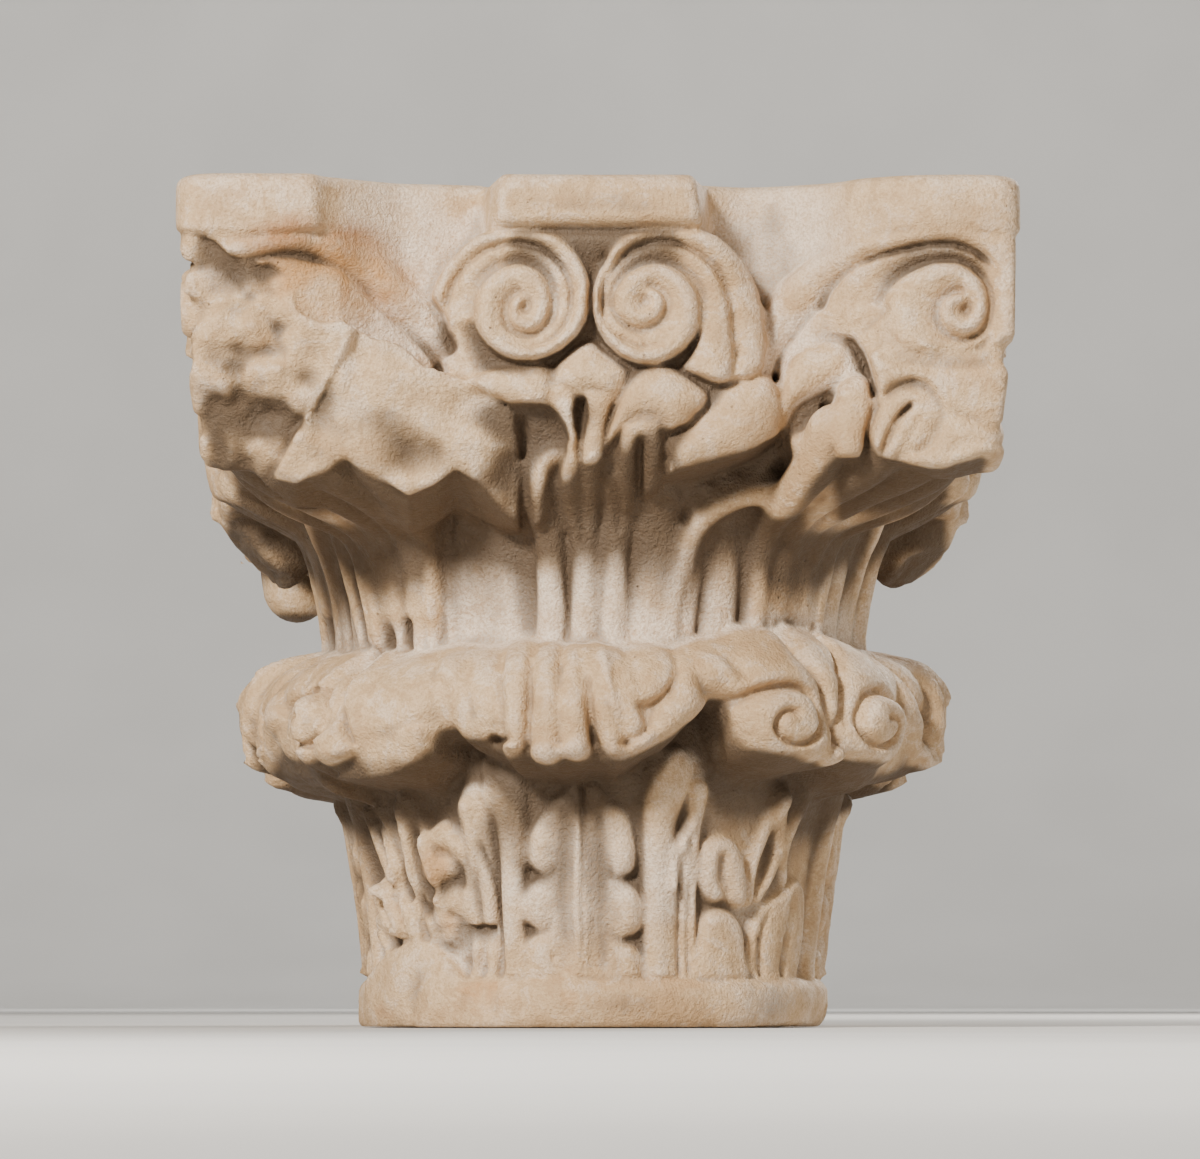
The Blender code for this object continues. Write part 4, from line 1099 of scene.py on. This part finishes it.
def surface(stone):
    """Vertices and quads where the field crosses zero, one vertex in each crossed cell."""
    field = stone.field
    inside = field < 0
    count = np.zeros(tuple(n - 1 for n in field.shape), np.uint8)
    for i, j, k in itertools.product((0, 1), repeat=3):
        count += inside[i:i - 1 or None, j:j - 1 or None, k:k - 1 or None]
    crossed = (count > 0) & (count < 8)
    cells = np.argwhere(crossed)
    number = np.full(crossed.shape, -1, np.int32)
    number[crossed] = np.arange(len(cells))
    total = np.zeros((len(cells), 3))
    hits = np.zeros(len(cells))
    for axis in range(3):
        others = [a for a in range(3) if a != axis]
        for corner in itertools.product((0, 1), repeat=2):
            start = cells.copy()
            start[:, others[0]] += corner[0]
            start[:, others[1]] += corner[1]
            end = start.copy()
            end[:, axis] += 1
            f0 = field[tuple(start.T)].astype(float)
            f1 = field[tuple(end.T)].astype(float)
            crossing = (f0 < 0) != (f1 < 0)
            t = np.where(crossing, f0 / np.where(crossing, f0 - f1, 1), 0)
            place = np.stack([stone.axes[a][start[:, a]] for a in range(3)], axis=1)
            step = stone.axes[axis][end[:, axis]] - stone.axes[axis][start[:, axis]]
            place[:, axis] += t * step
            total += np.where(crossing[:, None], place, 0)
            hits += crossing
    points = total / hits[:, None]
    quads = []
    for axis in range(3):
        first, second = [a for a in range(3) if a != axis]
        low = [slice(None)] * 3
        high = [slice(None)] * 3
        low[axis], high[axis] = slice(None, -1), slice(1, None)
        change = inside[tuple(low)] != inside[tuple(high)]
        edges = np.argwhere(change)
        ok = (edges[:, first] > 0) & (edges[:, second] > 0)
        ok &= (edges[:, first] < field.shape[first] - 1) & (edges[:, second] < field.shape[second] - 1)
        edges = edges[ok]
        around = []
        for da, db in ((-1, -1), (0, -1), (0, 0), (-1, 0)):
            cell = edges.copy()
            cell[:, first] += da
            cell[:, second] += db
            around.append(number[tuple(cell.T)])
        quad = np.stack(around, axis=1)
        outward = inside[tuple(edges.T)]
        flip = outward if axis != 1 else ~outward
        quad[~flip] = quad[~flip][:, ::-1]
        quads.append(quad)
    return points, np.concatenate(quads)


def grid_axes():
    """Grid lines: even across and up, finer along the block near the damaged end."""
    xs = np.arange(-HALF_WIDTH - 3, HALF_WIDTH + 3 + STEP, STEP)
    front = np.arange(-HALF_LENGTH - 3, FRONT_ZONE, STEP)
    back = np.arange(FRONT_ZONE, HALF_LENGTH + 3 + STEP_ALONG, STEP_ALONG)
    ys = np.concatenate([front, back])
    zs = np.arange(-3 * STEP, HEIGHT + 4 * STEP, STEP)
    return xs, ys, zs


def sculpt():
    """Carves the whole block."""
    stone = Stone(*grid_axes())
    whole, broken = whole_face(), broken_face()
    for canvas in (whole, broken):
        canvas.height = blur(canvas.height, 1)
    break_left(broken)
    upper_block(stone, whole, broken)
    one_bell(stone, True)
    one_bell(stone, False)
    fans(stone)
    arch_rims(stone)
    clear_break(stone, broken)
    tips(stone)
    ring_stump(stone)
    outer_breaks(stone)
    chips(stone)
    beds(stone)
    return stone


def box_mean(values, reach, axis):
    """Mean over a window along one axis."""
    pad = [(reach + 1, reach) if a == axis else (0, 0) for a in range(3)]
    total = np.cumsum(np.pad(values, pad, mode="edge"), axis=axis, dtype=np.float32)
    high = [slice(None)] * 3
    low = [slice(None)] * 3
    high[axis], low[axis] = slice(2 * reach + 1, None), slice(None, -2 * reach - 1)
    return (total[tuple(high)] - total[tuple(low)]) / (2 * reach + 1)


class Surroundings:
    """How much stone lies round each place, on an even grid: half on a flat, more in a hollow."""

    def __init__(self, stone, step):
        self.step = step
        self.low = [axis[0] for axis in stone.axes]
        picks = [np.clip(np.searchsorted(axis, np.arange(axis[0], axis[-1], step)), 0, len(axis) - 1)
                 for axis in stone.axes]
        inside = (stone.field[np.ix_(*picks)] < 0).astype(np.float32)
        self.maps = {}
        # The last map, of stone just above each place, drives the painted shade and patina under overhangs in
        # the marble.
        for name, reach, rise in (("edge", 3.5, 0), ("shelter", 22, 0), ("overhang_patina_and_shade", 8, 15)):
            cells = round(rise / step)
            blurred = np.pad(inside, ((0, 0), (0, 0), (0, cells)))[:, :, cells:]
            cells = max(1, round(reach / step / 1.5))
            for axis in (0, 1, 2, 0, 1, 2):
                blurred = box_mean(blurred, cells, axis)
            self.maps[name] = blurred

    def write(self, mesh):
        places = points_of(mesh) / MM
        cell = (places - self.low) / self.step
        shape = next(iter(self.maps.values())).shape
        cell = np.clip(cell, 0, np.array(shape) - 1.001)
        low = cell.astype(int)
        part = cell - low
        for name, values in self.maps.items():
            total = np.zeros(len(places))
            for corner in itertools.product((0, 1), repeat=3):
                weight = np.prod([part[:, a] if corner[a] else 1 - part[:, a] for a in range(3)], axis=0)
                total += weight * values[tuple(low[:, a] + corner[a] for a in range(3))]
            layer = mesh.attributes.new(name, "FLOAT", "POINT")
            layer.data.foreach_set("value", total.astype(np.float32))


def relax(points, quads, rounds, share):
    """Pulls each point a little towards the mean of its neighbours."""
    edges = np.concatenate([quads[:, [i, (i + 1) % 4]] for i in range(4)])
    for _ in range(rounds):
        total = np.zeros_like(points)
        count = np.bincount(edges[:, 0], minlength=len(points))
        for axis in range(3):
            total[:, axis] = np.bincount(edges[:, 0], points[edges[:, 1], axis], len(points))
        points = points + share * (total / np.maximum(count, 1)[:, None] - points)
    return points


def hand_made(points):
    """Gives the carving the uneven lines of hand work, and leaves the beds flat."""
    drift = np.stack([rough(points, 34, 60 + 7 * axis, 2) for axis in range(3)], axis=1)
    near_bed = smooth_step(0, 6, points[:, 2]) * smooth_step(HEIGHT, HEIGHT - 6, points[:, 2])
    drift[:, 2] *= near_bed
    return points + 0.8 * drift


def make_mesh(points, quads):
    mesh = bpy.data.meshes.new("carved_marble")
    mesh.vertices.add(len(points))
    mesh.vertices.foreach_set("co", (points * MM).astype(np.float32).ravel())
    mesh.loops.add(quads.size)
    mesh.loops.foreach_set("vertex_index", quads.astype(np.int32).ravel())
    mesh.polygons.add(len(quads))
    mesh.polygons.foreach_set("loop_start", np.arange(0, quads.size, 4, dtype=np.int32))
    mesh.polygons.foreach_set("loop_total", np.full(len(quads), 4, dtype=np.int32))
    mesh.update(calc_edges=True)
    mesh.validate()
    return mesh


def points_of(mesh):
    flat = np.empty(len(mesh.vertices) * 3, np.float32)
    mesh.vertices.foreach_get("co", flat)
    return flat.reshape(-1, 3)


def thin(piece, zone, target):
    """Thins the triangles of one zone of the mesh until that zone holds the target number."""
    mesh = piece.data
    in_zone = zone(points_of(mesh))
    corners = np.empty(len(mesh.loops), np.int32)
    mesh.loops.foreach_get("vertex_index", corners)
    sides = np.empty(len(mesh.polygons), np.int32)
    mesh.polygons.foreach_get("loop_total", sides)
    first_corners = corners[np.cumsum(sides) - sides]
    all_triangles = (sides - 2).sum()
    zone_triangles = (sides - 2)[in_zone[first_corners]].sum()
    group = piece.vertex_groups.new(name="zone")
    group.add(np.flatnonzero(in_zone).tolist(), 1.0, "REPLACE")
    mesh.update_tag()
    modifier = piece.modifiers.new("thin", "DECIMATE")
    modifier.ratio = min(1.0, (all_triangles - zone_triangles + target) / all_triangles)
    modifier.vertex_group = "zone"
    graph = bpy.context.evaluated_depsgraph_get()
    thinned = bpy.data.meshes.new_from_object(piece.evaluated_get(graph))
    piece.modifiers.clear()
    piece.data = thinned
    piece.vertex_groups.clear()
    bpy.data.meshes.remove(mesh)


def build_piece(box):
    """The visible marble, kept within the box of the solid it stands for."""
    stone = sculpt()
    points, quads = surface(stone)
    surroundings = Surroundings(stone, 2.4)
    points = relax(points, quads, 1, 0.5)
    points = hand_made(points)
    points = np.clip(points, *(np.array(corner) / MM for corner in box))
    mesh = make_mesh(points, quads)
    piece = bpy.data.objects.new("carved_marble", mesh)
    bpy.context.scene.collection.objects.link(piece)
    bpy.context.view_layer.update()
    border = FRONT_ZONE * MM
    thin(piece, lambda p: p[:, 1] > border, BACK_TRIANGLES)
    thin(piece, lambda p: p[:, 1] <= border, FRONT_TRIANGLES)
    piece.data.polygons.foreach_set("use_smooth", [True] * len(piece.data.polygons))
    surroundings.write(piece.data)
    return piece


class Nodes:
    """Short calls for the nodes that the materials use."""

    def __init__(self, name):
        self.material = bpy.data.materials.new(name)
        self.material.use_nodes = True
        self.tree = self.material.node_tree
        self.shader = self.tree.nodes["Principled BSDF"]
        self.places = self.node("TexCoord", "Object", {})

    def feed(self, socket, value):
        if isinstance(value, bpy.types.NodeSocket):
            self.tree.links.new(value, socket)
        else:
            socket.default_value = value

    def node(self, kind, output, inputs, **settings):
        """Adds a node with its settings and inputs, and gives one of its outputs."""
        node = self.tree.nodes.new("ShaderNode" + kind)
        for name, value in settings.items():
            setattr(node, name, value)
        for socket, value in inputs.items():
            self.feed(node.inputs[socket], value)
        return node.outputs[output]

    def noise(self, scale, detail=4.0, rough=0.6, warp=0.0):
        return self.node("TexNoise", "Fac", {
            "Vector": self.places, "Scale": scale, "Detail": detail, "Roughness": rough, "Distortion": warp})

    def cells(self, scale):
        return self.node("TexVoronoi", "Distance", {"Vector": self.places, "Scale": scale})

    def span(self, value, low, high, to_low=0.0, to_high=1.0):
        return self.node("MapRange", "Result", {
            "Value": value, "From Min": low, "From Max": high, "To Min": to_low, "To Max": to_high,
        }, interpolation_type="SMOOTHSTEP")

    def math(self, kind, first, second=0.0):
        return self.node("Math", 0, {0: first, 1: second}, operation=kind)

    def mix(self, share, first, second):
        first, second = (v if isinstance(v, bpy.types.NodeSocket) else (*v, 1) for v in (first, second))
        return self.node("Mix", "Result", {"Factor": share, "A": first, "B": second}, data_type="RGBA")

    def near(self, centre, size):
        """1 at a place on the object, falling to 0 at an ellipsoid round it. Millimetres."""
        centre, size = ([v * MM for v in row] for row in (centre, size))
        shift = self.node("VectorMath", "Vector", {0: self.places, 1: centre}, operation="SUBTRACT")
        shrunk = self.node("VectorMath", "Vector", {0: shift, 1: size}, operation="DIVIDE")
        far = self.node("VectorMath", "Value", {0: shrunk}, operation="LENGTH")
        return self.span(far, 0.35, 1.0, 1.0, 0.0)

    def attribute(self, name):
        return self.node("Attribute", "Fac", {}, attribute_name=name)

    def bump(self, height, distance, strength, under=None):
        inputs = {"Strength": strength, "Distance": distance, "Height": height}
        return self.node("Bump", "Normal", {**inputs, "Normal": under} if under else inputs)


CREAM = (0.67, 0.475, 0.285)
PALE = (0.80, 0.665, 0.53)
TAN = (0.43, 0.265, 0.13)
ORANGE = (0.52, 0.27, 0.10)
RUST = (0.33, 0.145, 0.055)
GREY = (0.38, 0.34, 0.31)
DARK_BROWN = (0.13, 0.09, 0.06)
# Dark umber for the painted shade and brown patina under overhangs
PATINA_AND_SHADE_UMBER = (0.08, 0.05, 0.027)

# Stains: middle, size, colour and strength
STAINS = (
    ((75, -255, 322), (40, 60, 30), PALE, 0.8),
    ((-82, -258, 322), (36, 60, 26), PALE, 0.8),
    ((0, -215, 180), (80, 60, 30), PALE, 0.9),
    ((0, -225, 60), (80, 60, 34), PALE, 0.7),
    ((132, -296, 326), (46, 20, 16), TAN, 0.6),
    ((-4, -296, 324), (46, 20, 14), TAN, 0.35),
    ((76, -280, 236), (70, 40, 22), TAN, 0.7),
    ((12, -280, 244), (24, 40, 22), TAN, 0.6),
    ((-96, -286, 232), (60, 40, 20), TAN, 0.6),
    ((0, -262, 122), (60, 40, 16), TAN, 0.5),
    ((0, -225, 6), (120, 60, 15), TAN, 0.6),
    ((-112, -280, 315), (42, 60, 15), RUST, 1.0),
    ((-106, -275, 301), (44, 70, 22), ORANGE, 1.0),
    ((-92, -270, 290), (20, 50, 13), RUST, 0.7),
    ((-60, -213, 42), (8, 30, 9), ORANGE, 0.6),
    ((-66, -210, 66), (12, 40, 12), ORANGE, 0.6),
    ((-46, -215, 13), (18, 40, 9), ORANGE, 0.9),
    ((-11, -224, 12), (5, 20, 5), ORANGE, 0.7),
    ((30, -222, 18), (40, 25, 5), ORANGE, 0.3),
    ((-90, -190, 6), (10, 30, 6), RUST, 0.4),
    ((-158, -290, 245), (14, 25, 22), GREY, 0.6),
    ((-150, -292, 300), (14, 20, 10), GREY, 0.5),
    ((80, -205, 10), (24, 30, 12), GREY, 0.7),
    ((-26, -280, 238), (12, 40, 16), GREY, 0.7),
    ((148, -292, 262), (14, 14, 10), ORANGE, 0.25),
)


def marble():
    """Worn warm marble: chalky in its hollows, tan and grainy where it is exposed, with stains, and dark
    under overhangs, which is partly patina and partly painted shade.
    """
    n = Nodes("marble")
    shelter = n.attribute("shelter")
    edge = n.attribute("edge")
    cloud = n.noise(9, 3, 0.6, 0.6)
    patch = n.noise(34, 4, 0.65, 0.4)
    speck = n.noise(240, 3, 0.7)
    grain = n.noise(900, 2, 0.7)
    mood = n.math("ADD", n.math("MULTIPLY", cloud, 0.55), n.math("MULTIPLY", patch, 0.45))
    colour = n.mix(n.span(mood, 0.38, 0.66, 0.0, 0.75), CREAM, TAN)
    pale = n.math("ADD", n.span(shelter, 0.50, 0.66), n.math("MULTIPLY", n.math("SUBTRACT", mood, 0.5), -1.4))
    colour = n.mix(n.span(pale, 0.1, 0.9, 0.0, 0.85), colour, PALE)
    colour = n.mix(n.span(edge, 0.50, 0.36, 0.0, 0.35), colour, PALE)
    colour = n.mix(n.span(speck, 0.52, 0.70, 0.0, 0.35), colour, TAN)
    mottle = n.noise(85, 4, 0.75, 0.5)
    colour = n.mix(n.span(mottle, 0.51, 0.60, 0.0, 0.5), colour, TAN)
    colour = n.mix(n.span(mottle, 0.47, 0.40, 0.0, 0.35), colour, PALE)
    for centre, size, tone, strength in STAINS:
        ragged = n.math("MULTIPLY", n.near(centre, size), n.span(patch, 0.35, 0.6, 0.25, 1.0))
        colour = n.mix(n.math("MULTIPLY", ragged, strength), colour, tone)
    # Narrow creases are mixed towards dark brown, in ragged patches.
    crease_darkening = n.span(edge, 0.60, 0.74, 0.0, 0.6)
    colour = n.mix(n.math("MULTIPLY", crease_darkening, n.span(patch, 0.3, 0.6, 0.35, 1.0)), colour, DARK_BROWN)
    pits = n.span(n.cells(150), 0.10, 0.02, 0.0, 1.0)
    pits = n.math("MULTIPLY", pits, n.span(n.noise(22, 2), 0.56, 0.66))
    colour = n.mix(n.math("MULTIPLY", pits, 0.75), colour, DARK_BROWN)
    colour = n.mix(n.span(grain, 0.42, 0.54, 0.42, 0.0), colour, TAN)
    # Painted shade: dark umber under overhangs, standing partly for brown patina and partly for the shade
    # that falls there.
    colour = n.mix(n.span(n.attribute("overhang_patina_and_shade"), 0.69, 0.92, 0.0, 0.95), colour, PATINA_AND_SHADE_UMBER)
    n.feed(n.shader.inputs["Base Color"], colour)
    n.feed(n.shader.inputs["Roughness"], n.span(speck, 0.3, 0.7, 0.62, 0.82))
    soft = n.bump(n.noise(300, 3, 0.75), 0.0011, 0.6)
    fine = n.bump(n.math("ADD", grain, n.math("MULTIPLY", n.noise(620, 1), 1.2)), 0.0007, 0.8, soft)
    n.feed(n.shader.inputs["Normal"], n.bump(n.math("MULTIPLY", pits, -1.0), 0.0014, 0.8, fine))
    n.shader.inputs["Specular IOR Level"].default_value = 0.4
    return n.material


# Camera in metres, its tilt up and its turn to the right
CAMERA_PLACE = (-0.036, -2.995, 0.011)
CAMERA_UP = math.radians(3.55)
CAMERA_TURN = math.radians(0.78)
FOCAL_LENGTH = 203.5


def add_camera():
    data = bpy.data.cameras.new("camera")
    data.lens = FOCAL_LENGTH
    data.sensor_width = 36
    camera = bpy.data.objects.new("camera", data)
    camera.location = CAMERA_PLACE
    camera.rotation_euler = (math.pi / 2 + CAMERA_UP, 0, -CAMERA_TURN)
    bpy.context.scene.collection.objects.link(camera)
    bpy.context.scene.camera = camera


# Round sweep in metres: radius of its flat, of its cove, height of its wall, gap under the stone
FLOOR_RADIUS = 6.8
COVE = 1.2
WALL_TOP = 5.0
FLOOR_GAP = 0.0004


def add_floor():
    """A pale round sweep: a floor that curves up into a wall all round the stone."""
    curve = np.linspace(0, math.pi / 2, 20)
    rings = [(1.2, 0.0), *((FLOOR_RADIUS + COVE * math.sin(t), COVE - COVE * math.cos(t)) for t in curve)]
    rings.append((FLOOR_RADIUS + COVE, WALL_TOP))
    sides = 96
    turns = [2 * math.pi * i / sides for i in range(sides)]
    vertices = [(reach * math.cos(t), reach * math.sin(t), z - FLOOR_GAP)
                for reach, z in rings for t in turns]
    faces = [tuple(range(sides))]
    for ring, i in itertools.product(range(len(rings) - 1), range(sides)):
        here, beside = ring * sides + i, ring * sides + (i + 1) % sides
        faces.append((here, here + sides, beside + sides, beside))
    mesh = bpy.data.meshes.new("sweep")
    mesh.from_pydata(vertices, [], faces)
    for face in mesh.polygons:
        face.use_smooth = True
    sweep = bpy.data.objects.new("sweep", mesh)
    bpy.context.scene.collection.objects.link(sweep)
    n = Nodes("paper")
    tone = n.mix(n.span(n.noise(3, 2), 0.3, 0.7), (0.63, 0.615, 0.59), (0.67, 0.655, 0.63))
    n.feed(n.shader.inputs["Base Color"], tone)
    n.shader.inputs["Roughness"].default_value = 0.95
    mesh.materials.append(n.material)


# Lights: place, energy, size, colour, and the place they shine at
LIGHTS = (
    ("key", (-1.05, -2.2, 1.36), 118, 0.42, (1.0, 0.96, 0.90), (0, -0.1, 0.15)),
    ("side", (1.9, -1.2, 0.7), 7, 0.9, (1.0, 0.97, 0.93), (0, -0.1, 0.15)),
    ("top", (0.6, 1.4, 2.0), 12, 1.2, (1.0, 0.98, 0.95), (0, -0.1, 0.17)),
    ("back", (1.3, 2.3, 1.3), 70, 0.6, (1.0, 0.96, 0.90), (0, 0.1, 0.15)),
    ("wall behind", (0.0, 4.4, 2.6), 110, 2.0, (1.0, 0.99, 0.97), (0, 7.4, 0.6)),
    ("wall before", (0.0, -4.8, 2.8), 70, 2.0, (1.0, 0.99, 0.97), (0, -7.4, 0.6)),
    ("wall left", (-4.8, 0.0, 2.8), 70, 2.0, (1.0, 0.99, 0.97), (-7.4, 0, 0.6)),
    ("wall right", (4.8, 0.0, 2.8), 70, 2.0, (1.0, 0.99, 0.97), (7.4, 0, 0.6)),
)


def add_lights():
    scene = bpy.context.scene
    world = bpy.data.worlds.new("studio")
    world.use_nodes = True
    world.node_tree.nodes["Background"].inputs["Color"].default_value = (0.86, 0.85, 0.83, 1)
    world.node_tree.nodes["Background"].inputs["Strength"].default_value = 0.08
    scene.world = world
    for name, place, energy, size, colour, aim in LIGHTS:
        data = bpy.data.lights.new(name, "AREA")
        data.energy = energy
        data.size = size
        data.color = colour
        light = bpy.data.objects.new(name, data)
        light.location = place
        direction = Vector(aim) - Vector(place)
        light.rotation_euler = direction.to_track_quat("-Z", "Y").to_euler()
        scene.collection.objects.link(light)


def main():
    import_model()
    cad_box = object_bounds()
    piece = build_piece(cad_box)
    piece.data.materials.append(marble())
    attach(piece, "root")
    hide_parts("double_capital")
    add_floor()
    add_lights()
    add_camera()


main()
